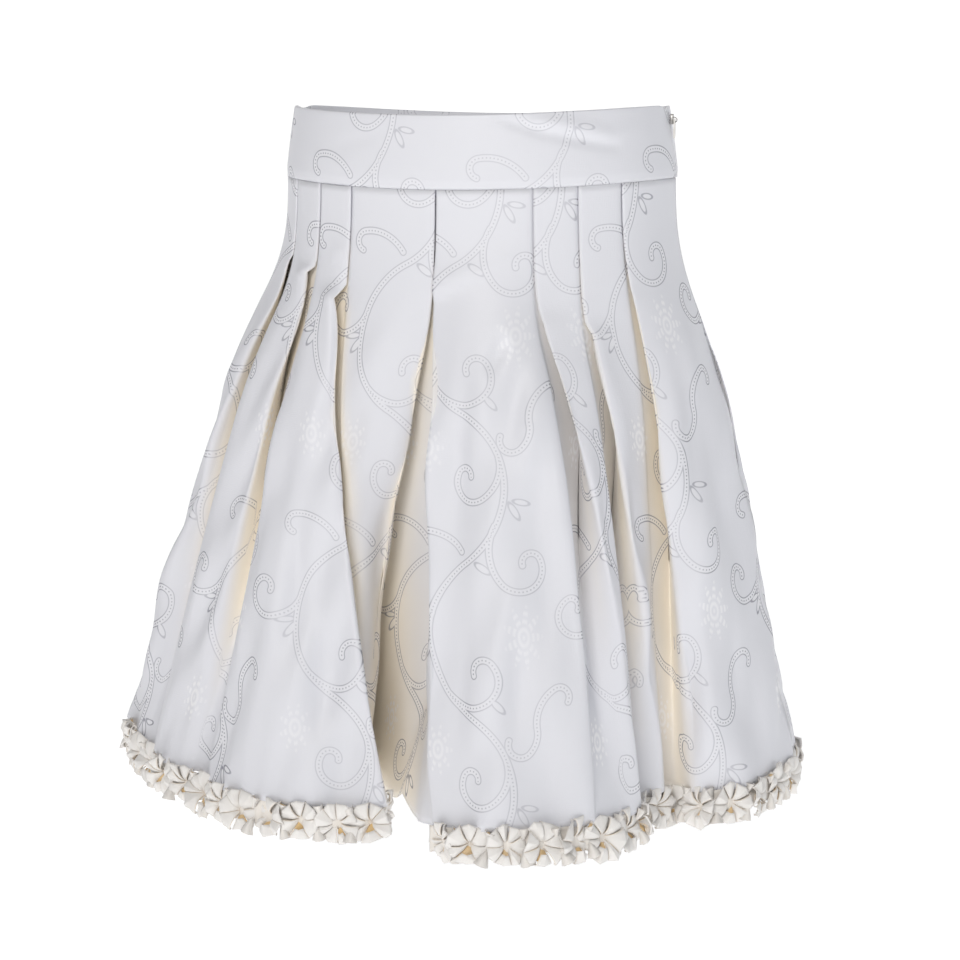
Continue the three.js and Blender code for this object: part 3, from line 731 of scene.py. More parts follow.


# One folded facet of a rosette, between two angles: points (along, up, out), faces and painted shade, in its
# creases and middle.
def facet(start, end, look, rows=facetRows, lip=0.0, sink=0.0, pocketShade=0.0):
    form = facetForm
    share, under = (np.array(column)[:, None] for column in zip(*rows))
    tau = np.array(facetColumns)[None]
    half = (end - start) / 2
    angle = start + (end - start) * tau
    ridge = 1 - np.abs(2 * tau - 1)
    straight = np.cos(half) / np.cos(angle - start - half)
    reach = trim["radius"] * look["size"] * (straight + look["tip"] * ridge * share) * share
    crease = 1 - ease(np.minimum(tau, 1 - tau) / form["creaseShare"])
    height = form["crown"] * np.sin(math.pi * share * form["crownTurn"])
    height = height - form["pinch"] * np.exp(-(share / form["pinchReach"]) ** 2)
    height = height + (look["ridge"] * ridge + look["lift"]) * share
    height = height + look["tilt"] * (tau - 0.5) * np.sin(math.pi * share * form["tiltTurn"])
    height = height - form["creaseDepth"] * crease * (form["creaseStart"] + (1 - form["creaseStart"]) * share)
    height = height + lip * ridge * np.exp(-((share - rows[0][0]) / form["lipReach"]) ** 2) - under - sink
    points = np.stack([reach * np.cos(angle), reach * np.sin(angle), height], -1)
    # painted shade: the creases and the middle get the trim's shade colour
    paintedShade = form["creaseShade"] * crease * (form["creaseFade"] - share)
    paintedShade = paintedShade + form["middleShade"] * np.exp(-(share / form["middleReach"]) ** 2)
    return points.reshape(-1, 3), gridFaces(len(rows), len(facetColumns)), np.clip(pocketShade + paintedShade, 0, 1).ravel()


# the open pocket's inside is painted with shade
rosetteForm = dict(counts=(6, 7, 7, 8), uneven=0.24, mouthChance=0.2, lip=2.8, sink=2.2, pocketShade=0.9)


# Facets round a pinched middle, each lapping over the next; the lowest one stands open as a pocket, its
# inside painted with shade.
def rosette(dice):
    form = rosetteForm
    count = dice.choice(form["counts"])
    turn = dice.uniform(0, 2 * math.pi)
    uneven = form["uneven"]
    starts = [turn + 2 * math.pi * (k + dice.uniform(-uneven, uneven)) / count for k in range(count)]
    starts.append(starts[0] + 2 * math.pi)
    lap = dice.choice((-1, 1))
    rise = [math.sin((a + b) / 2) + dice.uniform(0, form["mouthChance"]) for a, b in zip(starts, starts[1:])]
    parts = []
    for k, (start, end) in enumerate(zip(starts, starts[1:])):
        look = {name: drawn(dice, span) for name, span in facetLook.items()}
        look["tilt"] *= lap
        if rise[k] == min(rise):
            parts.append(facet(start, end, look, rows=facetRows[3:], lip=form["lip"]))
            parts.append(facet(start, end, look, rows=facetRows[:6], sink=form["sink"], pocketShade=form["pocketShade"]))
        else:
            parts.append(facet(start, end, look))
    return pieced(parts)


# a pocket's section: degrees round and how far out each point stands, so that its sides are flat
pocketForm = dict(
    angles=(-104, -70, -66, -24, -20, 22, 26, 64, 68, 104), out=(1, 0.9, 1, 0.94, 1, 1, 0.92, 1, 0.9, 1),
    steps=(0, 0.2, 0.45, 0.7, 0.9, 1.0), floorSteps=(0.02, 0.5, 0.97),
    length=(0.9, 1.1), width=(0.46, 0.58), turn=(-8, 8), squash=0.8, tip=0.1, flare=0.8, bulge=0.12,
    # painted shade: faint on the cone, strong on the floor inside its mouth
    droop=0.08, floorWidth=0.86, floorAt=0.8, paintedShade=0.05, floorShade=0.9,
)


# a small fold between two rosettes: a cone of cloth with flat sides, its open mouth facing down and its floor
# inside painted with shade
def pocket(dice, size):
    form = pocketForm
    length, width = size * drawn(dice, form["length"]), size * drawn(dice, form["width"])
    angles = np.radians(np.array(form["angles"]) + drawn(dice, form["turn"]))
    section = np.stack([np.sin(angles), np.cos(angles) * form["squash"]], -1) * np.array(form["out"])[:, None]
    outer = []
    for s in form["steps"]:
        wide = width * (form["tip"] + (1 - form["tip"]) * s ** form["flare"])
        bulge = form["bulge"] * width * math.sin(math.pi * s)
        outer += [(x * wide, -length * s * (1 + form["droop"] * y), y * wide + bulge) for x, y in section]
    floor = []
    for s in form["floorSteps"]:
        wide = width * form["floorWidth"] * s
        floor += [(x * wide, -length * form["floorAt"], y * wide) for x, y in section]
    return pieced([
        (np.array(outer), gridFaces(len(form["steps"]), len(section)), [form["paintedShade"]] * len(outer)),
        (np.array(floor), gridFaces(len(form["floorSteps"]), len(section)), [form["floorShade"]] * len(floor)),
    ])


# How rosettes and pockets lie along a run: turns in radians about the way up, along and out, then shifts.
# A pair is a range to draw from.
laidAs = dict(
    rosette=dict(size=(0.92, 1.07), width=(0.92, 1.04), turns=((-0.42, 0.42), (-0.34, 0.2), 0),
                 along=(-1.6, 1.6), up=(-1.3, 1.3), out=0),
    low=dict(size=10.5, turns=((-0.5, 0.5), (-0.45, 0.1), (-0.5, 0.5)),
             along=(-1, 1), up=-3, out=(-0.6, 1.2)),
    high=dict(size=8.5, turns=((-0.5, 0.5), (-0.2, 0.3), (math.pi - 0.6, math.pi + 0.6)),
              along=(-1.5, 1.5), up=4, out=-0.8),
)
ribbon = dict(
    # a little painted shade on the ribbon behind the rosettes
    top=1, height=18, columnWidth=2.2, rows=9, out=0.8, paintedShade=0.1,
    wave=1.2, waveLength=5.3, waveFrom=0.3, sway=1.2, swayTurn=0.7, sag=1.6, sagTurns=2.2,
)


# the gathered ribbon that the rosettes are pinched from
def ribbonPart(path, total, pitch):
    columns = round(total / ribbon["columnWidth"])
    frames = [pathFrame(path, total * i / (columns - 1)) for i in range(columns)]
    points = []
    for s in np.linspace(0, 1, ribbon["rows"]):
        height = ribbon["wave"] * (ribbon["waveFrom"] + (1 - ribbon["waveFrom"]) * s)
        for i, (at, _, outward) in enumerate(frames):
            sway = ribbon["sway"] * math.sin(i * ribbon["swayTurn"])
            wave = math.sin(i * 2 * math.pi / ribbon["waveLength"] + sway) * height
            sag = ribbon["sag"] * math.cos(i * 2 * math.pi * ribbon["sagTurns"] / pitch)
            drop = ribbon["top"] - s * (ribbon["height"] + sag)
            points.append(at + np.array([0, 0, drop]) + outward * (wave + ribbon["out"]))
    return np.array(points), gridFaces(ribbon["rows"], columns), [ribbon["paintedShade"]] * len(points)


def buildTrim(run, number):
    dice = random.Random(trim["seeds"] + number)
    path = trimPath(run)
    total = alongLine(path)[-1]
    count = round(total / trim["pitch"])
    pitch = total / count
    parts = []

    def lay(part, how, s, forward=0.0):
        points, faces, paintedShade = part
        about = [Matrix.Rotation(drawn(dice, turn), 3, axis) for turn, axis in zip(how["turns"], "YXZ")]
        points = points @ np.array(about[0] @ about[1] @ about[2]).T
        at, way, outward = pathFrame(path, s + drawn(dice, how["along"]))
        up = trim["overlap"] - trim["height"] / 2 + drawn(dice, how["up"])
        out = trim["forward"] + forward + drawn(dice, how["out"])
        axes = np.array([way, (0, 0, 1), outward])
        parts.append((at + np.array([0, 0, up]) + outward * out + points @ axes, faces, paintedShade))

    for k in range(count):
        points, faces, paintedShade = rosette(dice)
        size = drawn(dice, laidAs["rosette"]["size"])
        points = points * np.array([size * drawn(dice, laidAs["rosette"]["width"]), size, size])
        lay((points, faces, paintedShade), laidAs["rosette"], (k + 0.5) * pitch, trim["alternate"][k % 2])
    for k in range(1, count):
        for name in ("low", "high"):
            lay(pocket(dice, laidAs[name]["size"]), laidAs[name], k * pitch)
    parts.append(ribbonPart(path, total, pitch))
    points, faces, paintedShade = pieced(parts)
    uv = np.stack([points[:, 0] + points[:, 1], points[:, 2]], -1)
    name = "hemTrim" + run["side"].capitalize() + run["hand"].capitalize()
    obj = clothMesh(name, points, faces, uv, paintedShade)
    thicken(obj, trim["wall"], -1)
    print("trim", run["side"], run["hand"], "run", round(total), "mm", count, "rosettes")
    return run, obj, total


trims = [buildTrim(run, number) for number, run in enumerate(trimRuns)]


zipDetail = dict(
    tapeAngles=(60, 90), bandShares=(0.08, 0.97, 8), skirtShare=0.36, near=40,
    halfWidth=12, inset=2.75, wall=0.63, columns=13, everyRing=2,
    bevel=0.22, bevelSteps=3, bevelFrom=35, flatWithin=2, weld=0.001,
)
coilForm = dict(pitch=1.4, width=2.6, depth=0.55, rise=0.2, inset=0.9, wire=0.42, sides=8, turns=14)


# lines across the left side seam, from the band's top to below the hip
def seamLines():
    lines = []
    angles = np.linspace(*zipDetail["tapeAngles"], zipDetail["columns"])
    for share in np.linspace(*zipDetail["bandShares"]):
        q, _ = bandPoint(angles, share)
        lines.append(np.concatenate([q * np.array([1, -1, 1]), q[::-1][1:]]))
    last = round(zipDetail["skirtShare"] * (skirt["rings"] - 1))
    for j in range(0, last + 1, zipDetail["everyRing"]):
        front = surfaces["front"]["points"][j][-zipDetail["near"]:]
        lines.append(np.concatenate([front, surfaces["back"]["points"][j][1:zipDetail["near"]]]))
    return lines


def buildTape():
    grid = []
    for line in seamLines():
        s = alongLine(line)
        half = zipDetail["halfWidth"]
        middle = s[np.argmax(line[:, 0] - np.abs(line[:, 1]) * 2)]     # the seam, out at the side
        across = pointsAlong(line, middle + np.linspace(-half, half, zipDetail["columns"]), s)
        way = np.gradient(across[:, :2], axis=0)
        across[:, :2] -= unit(np.stack([way[:, 1], -way[:, 0]], -1)) * zipDetail["inset"]
        grid.append(across)
    grid = np.array(grid)
    rows, columns = grid.shape[:2]
    middleLine = grid[:, columns // 2]
    down = alongLine(middleLine)
    uv = np.stack(np.meshgrid(np.linspace(0, 2 * zipDetail["halfWidth"], columns), down), -1)
    obj = clothMesh("zipTape", grid.reshape(-1, 3), gridFaces(rows, columns), uv.reshape(-1, 2))
    thicken(obj, zipDetail["wall"])
    return obj, middleLine, down[-1]


# the coil: a row of small loops up the inside of the tape
def buildCoil(line):
    s = alongLine(line)
    points, faces = [], []
    sides, turns = coilForm["sides"], coilForm["turns"]
    for k in range(int(s[-1] / coilForm["pitch"])):
        at = pointsAlong(line, [(k + 0.5) * coilForm["pitch"]], s)[0]
        for i in range(turns):
            t = 2 * math.pi * i / turns
            inward = coilForm["depth"] * math.cos(t)
            across = coilForm["width"] / 2 * math.sin(t)
            centre = at + np.array([-coilForm["inset"] - inward, across, coilForm["rise"] * math.cos(t)])
            outward = unit(np.array([-inward, math.sin(t), 0]))
            for c in range(sides):
                a = 2 * math.pi * c / sides
                rim = math.cos(a) * outward + np.array([0, 0, math.sin(a)])
                points.append(centre + coilForm["wire"] * rim)
        start = k * turns * sides
        for i in range(turns):
            a, b = start + i * sides, start + ((i + 1) % turns) * sides
            faces += [(a + c, a + (c + 1) % sides, b + (c + 1) % sides, b + c) for c in range(sides)]
    return clothMesh("zipCoil", points, faces, np.zeros((len(points), 2)))


# a solid of the frame with its flat facets joined and its edges rounded
def bevelledCopy(node, name):
    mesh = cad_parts[node].data.copy()
    mesh.name = name
    bm = bmesh.new()
    bm.from_mesh(mesh)
    bmesh.ops.remove_doubles(bm, verts=bm.verts, dist=zipDetail["weld"] * mm)
    flatWithin = math.radians(zipDetail["flatWithin"])
    bmesh.ops.dissolve_limit(bm, angle_limit=flatWithin, verts=bm.verts, edges=bm.edges)
    bm.to_mesh(mesh)
    bm.free()
    mesh.materials.clear()
    obj = linked(name, mesh)
    bevel = obj.modifiers.new("edges", "BEVEL")
    bevel.width = zipDetail["bevel"] * mm
    bevel.segments = zipDetail["bevelSteps"]
    bevel.angle_limit = math.radians(zipDetail["bevelFrom"])
    bevel.harden_normals = True
    mesh.shade_smooth()
    return obj


tape, coilLine, tapeLength = buildTape()
coil = buildCoil(coilLine)
zipSlider = bevelledCopy("zip_slider", "zipSliderBody")
zipPull = bevelledCopy("zip_pull", "zipPullTab")
print("zip done")


# a shader node group: inputs are labels with a kind and a value, outputs are labels with a kind
def newGroup(name, inputs, outputs):
    tree = bpy.data.node_groups.new(name, "ShaderNodeTree")
    for label, (kind, value) in inputs.items():
        socket = tree.interface.new_socket(label, in_out="INPUT", socket_type="NodeSocket" + kind)
        if value is not None:
            socket.default_value = value
    for label, kind in outputs.items():
        tree.interface.new_socket(label, in_out="OUTPUT", socket_type="NodeSocket" + kind)
    return tree, tree.nodes.new("NodeGroupInput").outputs, tree.nodes.new("NodeGroupOutput").inputs


def plug(tree, value, socket):
    if isinstance(value, bpy.types.NodeSocket):
        tree.links.new(value, socket)
    else:
        socket.default_value = value


# sets or links a node's inputs by their labels
def fill(tree, node, values):
    for label, value in values.items():
        plug(tree, value, node.inputs[label])
    return node


# a new node with its own settings, then its inputs by their labels or numbers
def made(tree, kind, values, **settings):
    node = tree.nodes.new("ShaderNode" + kind)
    for name, value in settings.items():
        setattr(node, name, value)
    return fill(tree, node, values)


def calc(tree, operation, *values):
    return made(tree, "Math", dict(enumerate(values)), operation=operation).outputs[0]


def vectorCalc(tree, operation, *values):
    return made(tree, "VectorMath", dict(enumerate(values)), operation=operation).outputs["Vector"]


def vectorLength(tree, vector):
    return made(tree, "VectorMath", {0: vector}, operation="LENGTH").outputs["Value"]


def joined(tree, x, y):
    return made(tree, "CombineXYZ", {"X": x, "Y": y}).outputs[0]


def separated(tree, vector):
    return made(tree, "SeparateXYZ", {"Vector": vector}).outputs[:2]


def noiseIn(tree, scale, detail, vector=None):
    values = {"Scale": scale, "Detail": detail}
    if vector is not None:
        values["Vector"] = vector
    return made(tree, "TexNoise", values).outputs["Fac"]


# 1 where value is below 0, with an edge of that softness
def inside(tree, value, soft):
    values = {"Value": value, "From Min": soft, "From Max": -soft}
    return made(tree, "MapRange", values, interpolation_type="SMOOTHSTEP").outputs["Result"]


def blended(tree, factor, a, b):
    return made(tree, "Mix", {0: factor, 2: a, 3: b}).outputs[0]


def blendedColor(tree, factor, a, b):
    return made(tree, "Mix", {0: factor, 6: a, 7: b}, data_type="RGBA").outputs[2]


def bumpOf(tree, height, strength, distance):
    return made(tree, "Bump", {"Height": height, "Strength": strength, "Distance": distance}).outputs[0]


# The brocade's figure in mm of cloth: vines that are chains of arcs, each arc a radius and the
# degrees it turns, with leaves and pale flowers, all repeated across and down.
figure = dict(
    across=130, rise=210, wobble=1.6, wobbleScale=24,
    band=2.3, outline=0.4, dotPitch=2.7, dotSize=0.58, bandSoft=0.3, lineSoft=0.25,
    flowerSquash=0.62, petals=9, petalReach=0.68, petalDepth=0.3, petalSoft=1.2, petalRings=3.4,
    vines=[
        dict(start=(96, 0), heading=90, turns=[(60, 61.05), (60, -122.1), (60, 61.05)]),
        dict(start=(89, 27), heading=122, turns=[(34, -74), (16, -165), (6.5, -170)]),
        dict(start=(37, 87), heading=108, turns=[(28, 52), (14, 165), (6, 150)]),
        dict(start=(48, 143), heading=44, turns=[(34, -34), (19, -134), (8, -165)]),
        dict(start=(92, 189), heading=74, turns=[(26, 72), (15, 150), (6, 160)]),
        dict(start=(29, 44), heading=200, turns=[(7, 150), (32, 66)]),
        dict(start=(6, 150), heading=-60, turns=[(7, -150), (26, -70), (18, 60), (9, 150)]),
    ],
    leaves=[
        dict(at=(31, 112), size=(2.4, 7.0), turn=35),
        dict(at=(27, 106), size=(2.0, 6.0), turn=78),
        dict(at=(79, 56), size=(2.4, 6.5), turn=-55),
        dict(at=(102, 17), size=(2.2, 6.5), turn=-30),
        dict(at=(107, 11), size=(2.0, 5.5), turn=-80),
        dict(at=(87, 151), size=(2.2, 6.0), turn=-40),
    ],
    flowers=[dict(at=(106, 104), size=14), dict(at=(40, 182), size=11)],
)


# centre, radius, middle and half span of each arc of a vine, and how far along the vine it lies
def vineArcs(vine):
    (x, y), heading, passed = vine["start"], math.radians(vine["heading"]), 0
    arcs = []
    for radius, sweep in vine["turns"]:
        side = math.copysign(1, sweep)
        sweep = math.radians(sweep)
        centre = (x - side * radius * math.sin(heading), y + side * radius * math.cos(heading))
        start = heading - side * math.pi / 2
        half = abs(sweep) / 2
        arcs.append(dict(centre=centre, radius=radius, middle=start + sweep / 2, half=half, side=side,
                         passed=passed + radius * half))
        x = centre[0] + radius * math.cos(start + sweep)
        y = centre[1] + radius * math.sin(start + sweep)
        heading += sweep
        passed += radius * half * 2
    return arcs


def brocadeGroup():
    tree, given, result = newGroup(
        "brocadeScroll",
        dict(Cloth=("Vector", None), Wobble=("Float", figure["wobble"])),
        dict(Band="Float", Outline="Float", Dots="Float", Flower="Float"),
    )
    wander = calc(tree, "SUBTRACT", noiseIn(tree, figure["wobbleScale"], 0, given["Cloth"]), 0.5)
    shift = calc(tree, "MULTIPLY", wander, given["Wobble"])
    place = vectorCalc(tree, "MULTIPLY_ADD", given["Cloth"], (1 / mm, 1 / mm, 0), joined(tree, shift, shift))
    halfTile = (figure["across"] / 2, figure["rise"] / 2, 1)

    # from the nearest copy of a place, turned
    def around(at, turn=0.0):
        moved = vectorCalc(tree, "SUBTRACT", place, (at[0], at[1], 0))
        moved = vectorCalc(tree, "WRAP", moved, halfTile, tuple(-c for c in halfTile))
        if turn == 0:
            return moved
        values = {"Angle": turn, "Vector": moved}
        return made(tree, "VectorRotate", values, rotation_type="Z_AXIS").outputs[0]

    away, along = None, None
    for arc in [arc for vine in figure["vines"] for arc in vineArcs(vine)]:
        spot = around(arc["centre"], -arc["middle"])
        x, y = separated(tree, spot)
        angle = calc(tree, "ARCTAN2", y, x)
        ring = calc(tree, "ABSOLUTE", calc(tree, "SUBTRACT", vectorLength(tree, spot), arc["radius"]))
        end = (arc["radius"] * math.cos(arc["half"]), arc["radius"] * math.sin(arc["half"]), 0)
        folded = joined(tree, x, calc(tree, "ABSOLUTE", y))
        toEnd = vectorLength(tree, vectorCalc(tree, "SUBTRACT", folded, end))
        within = calc(tree, "LESS_THAN", calc(tree, "ABSOLUTE", angle), arc["half"])
        distance = blended(tree, within, toEnd, ring)
        reached = calc(tree, "MULTIPLY_ADD", angle, arc["radius"] * arc["side"], arc["passed"])
        if away is None:
            away, along = distance, reached
        else:
            nearer = calc(tree, "LESS_THAN", distance, away)
            away = calc(tree, "MINIMUM", distance, away)
            along = blended(tree, nearer, along, reached)
    edge = calc(tree, "SUBTRACT", away, figure["band"])
    for leaf in figure["leaves"]:
        width, length = leaf["size"]
        spot = around(leaf["at"], -math.radians(leaf["turn"]))
        spot = vectorCalc(tree, "MULTIPLY", spot, (1 / width, 1 / length, 0))
        leafEdge = calc(tree, "MULTIPLY", calc(tree, "SUBTRACT", vectorLength(tree, spot), 1), width)
        edge = calc(tree, "MINIMUM", edge, leafEdge)
    rim = calc(tree, "SUBTRACT", calc(tree, "ABSOLUTE", edge), figure["outline"])
    step = calc(tree, "PINGPONG", along, figure["dotPitch"] / 2)
    dot = calc(tree, "SUBTRACT", vectorLength(tree, joined(tree, away, step)), figure["dotSize"])
    flower = None
    for bloom in figure["flowers"]:
        spot = vectorCalc(tree, "MULTIPLY", around(bloom["at"]), (1, figure["flowerSquash"], 0))
        x, y = separated(tree, spot)
        r = vectorLength(tree, spot)
        petals = calc(tree, "MULTIPLY", calc(tree, "ARCTAN2", y, x), figure["petals"])
        depth, reach = figure["petalDepth"] * bloom["size"], figure["petalReach"] * bloom["size"]
        reach = calc(tree, "MULTIPLY_ADD", calc(tree, "COSINE", petals), depth, reach)
        petal = inside(tree, calc(tree, "SUBTRACT", r, reach), figure["petalSoft"])
        ringed = calc(tree, "COSINE", calc(tree, "MULTIPLY", r, 2 * math.pi / figure["petalRings"]))
        shape = calc(tree, "MULTIPLY", petal, calc(tree, "MULTIPLY_ADD", ringed, 0.5, 0.5))
        flower = shape if flower is None else calc(tree, "MAXIMUM", flower, shape)
    tree.links.new(inside(tree, edge, figure["bandSoft"]), result["Band"])
    tree.links.new(inside(tree, rim, figure["lineSoft"]), result["Outline"])
    tree.links.new(inside(tree, dot, figure["lineSoft"]), result["Dots"])
    tree.links.new(flower, result["Flower"])
    return tree


weaveForm = dict(threads=1400.0, ribs=(1.0, 0.12, 1), slubs=(0.16, 1.0, 1))


# threads of the ground: fine ribs down the cloth and slubs across it
def weaveGroup():
    tree, given, result = newGroup(
        "satinWeave",
        dict(Cloth=("Vector", None), Threads=("Float", weaveForm["threads"])),
        dict(Height="Float"),
    )
    halves = []
    for name in ("ribs", "slubs"):
        place = vectorCalc(tree, "MULTIPLY", given["Cloth"], weaveForm[name])
        halves.append(calc(tree, "MULTIPLY", noiseIn(tree, given["Threads"], 0, place), 0.5))
    tree.links.new(calc(tree, "ADD", *halves), result["Height"])
    return tree


foldShadeForm = dict(scale=9, detail=1, uneven=0.6, least=0.7)


# warm bounce light and shade painted inside folds and hollows, by the painted shade each point carries,
# unevenly
def foldShadeGroup():
    tree, given, result = newGroup(
        "paintedFoldShade",
        dict(Cloth=("Vector", None), Base=("Color", (0.8, 0.8, 0.8, 1)), Fold=("Color", (0.6, 0.45, 0.3, 1)),
             Warmth=("Float", 1.0)),
        dict(Color="Color"),
    )
    paintedShade = made(tree, "Attribute", {}, attribute_name="paintedShade").outputs["Fac"]
    mask = calc(tree, "MULTIPLY", paintedShade, given["Warmth"])
    uneven = noiseIn(tree, foldShadeForm["scale"], foldShadeForm["detail"], given["Cloth"])
    uneven = calc(tree, "MULTIPLY_ADD", uneven, foldShadeForm["uneven"], foldShadeForm["least"])
    mask = calc(tree, "MINIMUM", calc(tree, "MULTIPLY", mask, uneven), 1)
    tree.links.new(blendedColor(tree, mask, given["Base"], given["Fold"]), result["Color"])
    return tree


groups = dict(brocade=brocadeGroup(), weave=weaveGroup(), foldShade=foldShadeGroup())


def newMaterial(name):
    material = bpy.data.materials.new(name)
    material.use_nodes = True
    tree = material.node_tree
    return material, tree, tree.nodes["Principled BSDF"]


def placed(tree, group, **values):
    return made(tree, "Group", values, node_tree=groups[group]).outputs


def clothCoords(tree):
    return made(tree, "UVMap", {}, uv_map="clothUv").outputs[0]


# a bump is its strength and its depth in metres; roughness is a base and what the pattern adds
# fold is the painted warm shade colour that hollows get, standing in for light bounced inside the folds
ivory = dict(base=(0.775, 0.783, 0.832, 1), fold=(0.95, 0.885, 0.775, 1))
finishes = dict(
    skirt=dict(**ivory, shadeAmount=1.0, strength=1.0, bump=(0.35, 0.0003)),
    band=dict(**ivory, shadeAmount=0.3, strength=0.9, bump=(0.3, 0.0003)),
    # the trim's fold is its painted shade colour, for its creases and pockets
    trim=dict(base=(0.83, 0.81, 0.785, 1), fold=(0.80, 0.56, 0.26, 1), shadeAmount=1.0, bump=(0.25, 0.0004),
              threads=900.0, rough=0.38, threadRough=0.16, sheen=0.2, specular=0.45),
    tape=dict(dark=(0.7, 0.69, 0.66, 1), light=(0.88, 0.87, 0.84, 1), threads=2200.0, rough=0.7,
              bump=(0.4, 0.0003)),
    nickel=dict(dark=(0.3, 0.29, 0.28, 1), light=(0.5, 0.49, 0.48, 1), metallic=1.0, rough=0.25),
    lacquer=dict(dark=(0.76, 0.74, 0.7, 1), light=(0.86, 0.84, 0.8, 1), metallic=0.0, rough=0.2),
    nylon=dict(dark=(0.78, 0.77, 0.74, 1), light=(0.86, 0.85, 0.82, 1), metallic=0.0, rough=0.3),
)
brocade = dict(
    line=(0.15, 0.15, 0.21, 1), pale=(0.96, 0.96, 0.98, 1),
    tints=dict(Band=(0.32, "pale"), Outline=(0.78, "line"), Dots=(0.85, "line"), Flower=(0.9, "pale")),
    # how far the painted sheen fades the figure where the cloth faces the eye
    blend=0.35, seenGain=1.7, seenLeast=0.3,
    rough=0.46, bandRough=0.1, flowerRough=-0.14, sheen=0.15, sheenRough=0.4, specular=0.4,
)
scuff = dict(scale=900, detail=4, rough=0.25)


def brocadeMaterial(name, look):
    material, tree, shader = newMaterial(name)
    coords = clothCoords(tree)
    scroll = placed(tree, "brocade", Cloth=coords)
    weave = placed(tree, "weave", Cloth=coords)
    # painted warm shade in the hollows
    foldShade = placed(tree, "foldShade", Cloth=coords, Base=look["base"], Fold=look["fold"], Warmth=look["shadeAmount"])
    # painted sheen: the figure is faded out of the colour where the cloth faces the eye, as the satin's gloss
    # would hide it, and shown where the cloth turns away
    facing = made(tree, "LayerWeight", {"Blend": brocade["blend"]}).outputs["Facing"]
    seen = calc(tree, "MULTIPLY_ADD", facing, brocade["seenGain"], brocade["seenLeast"])
    seen = calc(tree, "MULTIPLY", calc(tree, "MINIMUM", seen, 1), look["strength"])
    color = foldShade["Color"]
    for label, (weight, tint) in brocade["tints"].items():
        factor = calc(tree, "MULTIPLY", scroll[label], calc(tree, "MULTIPLY", seen, weight))
        color = blendedColor(tree, factor, color, brocade[tint])
    rough = calc(tree, "MULTIPLY_ADD", scroll["Band"], brocade["bandRough"], brocade["rough"])
    rough = calc(tree, "MULTIPLY_ADD", scroll["Flower"], brocade["flowerRough"], rough)
    fill(tree, shader, {
        "Base Color": color, "Roughness": rough, "Sheen Weight": brocade["sheen"],
        "Sheen Roughness": brocade["sheenRough"], "Specular IOR Level": brocade["specular"],
        "Normal": bumpOf(tree, weave["Height"], *look["bump"]),
    })
    return material


def satinMaterial(name, look):
    material, tree, shader = newMaterial(name)
    coords = clothCoords(tree)
    weave = placed(tree, "weave", Cloth=coords, Threads=look["threads"])
    # painted warm shade in the creases and pockets
    foldShade = placed(tree, "foldShade", Cloth=coords, Base=look["base"], Fold=look["fold"], Warmth=look["shadeAmount"])
    rough = calc(tree, "MULTIPLY_ADD", weave["Height"], look["threadRough"], look["rough"])
    fill(tree, shader, {
        "Base Color": foldShade["Color"], "Roughness": rough, "Sheen Weight": look["sheen"],
        "Specular IOR Level": look["specular"], "Normal": bumpOf(tree, weave["Height"], *look["bump"]),
    })
    return material


def tapeMaterial(name, look):
    material, tree, shader = newMaterial(name)
    weave = placed(tree, "weave", Cloth=clothCoords(tree), Threads=look["threads"])
    fill(tree, shader, {
        "Base Color": blendedColor(tree, weave["Height"], look["dark"], look["light"]),
        "Roughness": look["rough"], "Normal": bumpOf(tree, weave["Height"], *look["bump"]),
    })
    return material


# metal, lacquer or nylon with small scuffs in object space
def hardMaterial(name, look):
    material, tree, shader = newMaterial(name)
    scuffs = noiseIn(tree, scuff["scale"], scuff["detail"], made(tree, "TexCoord", {}).outputs["Object"])
    fill(tree, shader, {
        "Base Color": blendedColor(tree, scuffs, look["dark"], look["light"]), "Metallic": look["metallic"],
        "Roughness": calc(tree, "MULTIPLY_ADD", scuffs, scuff["rough"], look["rough"]),
    })
    return material


skirtMaterial = brocadeMaterial("skirtBrocade", finishes["skirt"])
bandMaterial = brocadeMaterial("bandBrocade", finishes["band"])
trimMaterial = satinMaterial("trimSatin", finishes["trim"])
tapeWeave = tapeMaterial("zipTapeWeave", finishes["tape"])
nickel = hardMaterial("dullNickel", finishes["nickel"])
lacquer = hardMaterial("creamLacquer", finishes["lacquer"])
nylon = hardMaterial("coilNylon", finishes["nylon"])
print("materials done")


# what each piece is made of and rides on, and which parts of the frame it takes the place of and hides; what
# it stands for, its slot, is not used
def settle(obj, material, body, slot, *nodes):
    obj.data.materials.append(material)
    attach(obj, body)
    if nodes:
        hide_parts(*nodes)


for side in ("front", "back"):
    settle(panels[side], skirtMaterial, "skirt", "skirt_cloth", "skirt_" + side)
    settle(bands[side], bandMaterial, "skirt", "band_cloth", "waistband_" + side)
for run, obj, total in trims:
    settle(obj, trimMaterial, "skirt", "trim_cloth", "hem_trim_%s_%s" % (run["side"], run["hand"]))
settle(tape, tapeWeave, "skirt", "zip_tape", "zip_tape")
settle(coil, nylon, "skirt", "zip_tape")
settle(zipSlider, nickel, "skirt", "zip_metal", "zip_slider")
settle(zipPull, lacquer, "pull", "zip_pull", "zip_pull")


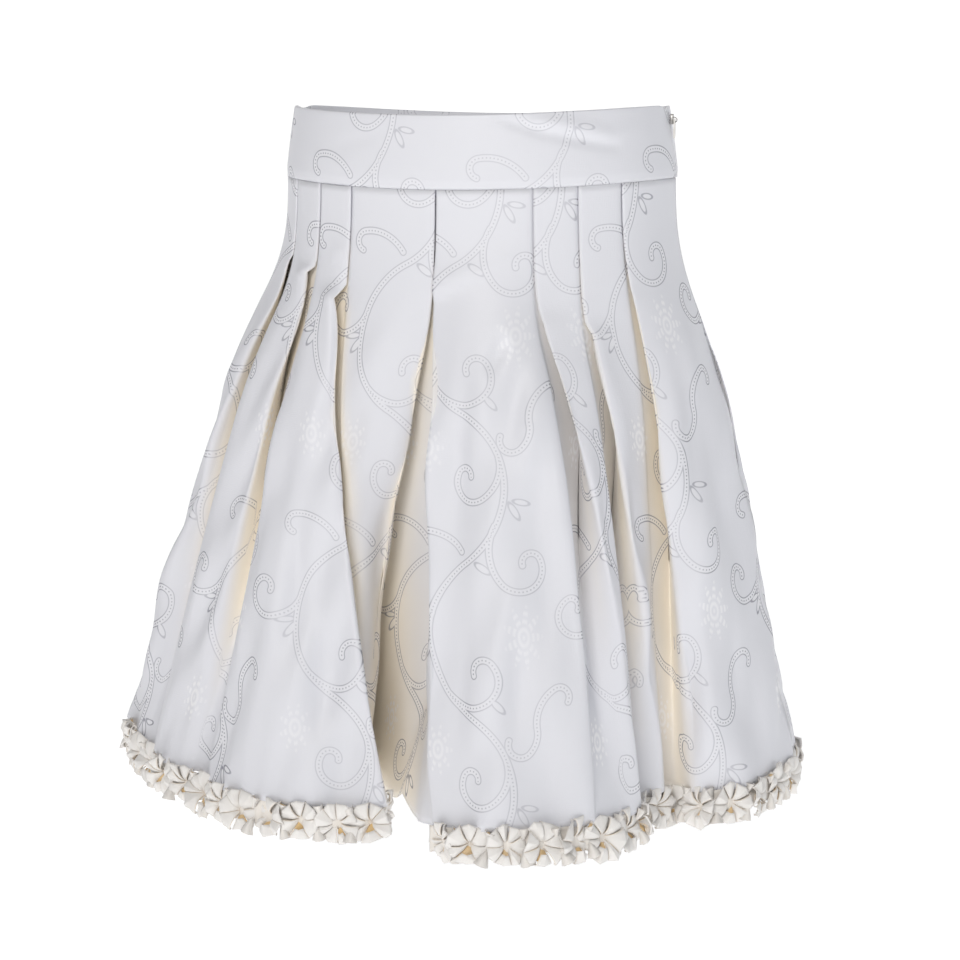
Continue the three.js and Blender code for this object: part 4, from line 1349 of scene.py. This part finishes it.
# metres; the floor runs back flat, then curves up
studio = dict(
    floorZ=-0.72, size=14, flatShare=0.45, curve=1.6, steps=12, target=(0, 0, -0.25), world=0.15,
    worldColor=(0.97, 0.98, 1, 1), floor=((0.93, 0.93, 0.93, 1), (0.95, 0.95, 0.95, 1)),
    floorNoise=(3, 2), floorRough=0.9, floorGlow=0.64,
)
lights = dict(
    keyLight=dict(place=(0.05, -3.0, 1.6), size=(1.2, 1.2), power=54, color=(1, 0.975, 0.945)),
    fillRight=dict(place=(2.6, -1.2, 0.9), size=(1.6, 2.2), power=6, color=(0.9, 0.95, 1)),
    backLight=dict(place=(0.3, 3.0, 1.8), size=(2.4, 1.6), power=6, color=(0.95, 0.97, 1)),
)


def buildFloor():
    half, curve = studio["size"] / 2, studio["curve"]
    back = half * studio["flatShare"]
    profile = [(-half, 0), (back, 0)]
    for k in range(1, studio["steps"] + 1):
        t = math.pi / 2 * k / studio["steps"]
        profile.append((back + curve * math.sin(t), curve * (1 - math.cos(t))))
    profile.append((back + curve, half))
    points = [(x, y, studio["floorZ"] + z) for y, z in profile for x in (-half, half)]
    mesh = bpy.data.meshes.new("floor")
    mesh.from_pydata(points, [], [(2 * k, 2 * k + 1, 2 * k + 3, 2 * k + 2) for k in range(len(profile) - 1)])
    mesh.shade_smooth()
    material, tree, shader = newMaterial("paleFloor")
    fill(tree, shader, {
        "Base Color": blendedColor(tree, noiseIn(tree, *studio["floorNoise"]), *studio["floor"]),
        "Roughness": studio["floorRough"],
        "Emission Color": (1, 1, 1, 1), "Emission Strength": studio["floorGlow"],
    })
    mesh.materials.append(material)
    linked("floor", mesh)


def softLight(name, place, size, power, color):
    data = bpy.data.lights.new(name, "AREA")
    data.shape = "RECTANGLE"
    data.size, data.size_y = size
    data.energy = power
    data.color = color
    light = bpy.data.objects.new(name, data)
    light.location = place
    light.rotation_euler = (Vector(studio["target"]) - Vector(place)).to_track_quat("-Z", "Y").to_euler()
    scene.collection.objects.link(light)


buildFloor()
for name, values in lights.items():
    softLight(name, **values)
world = bpy.data.worlds.new("studio")
world.use_nodes = True
fill(world.node_tree, world.node_tree.nodes["Background"],
     {"Color": studio["worldColor"], "Strength": studio["world"]})
scene.world = world
scene.view_settings.view_transform = "Standard"
print("studio done")
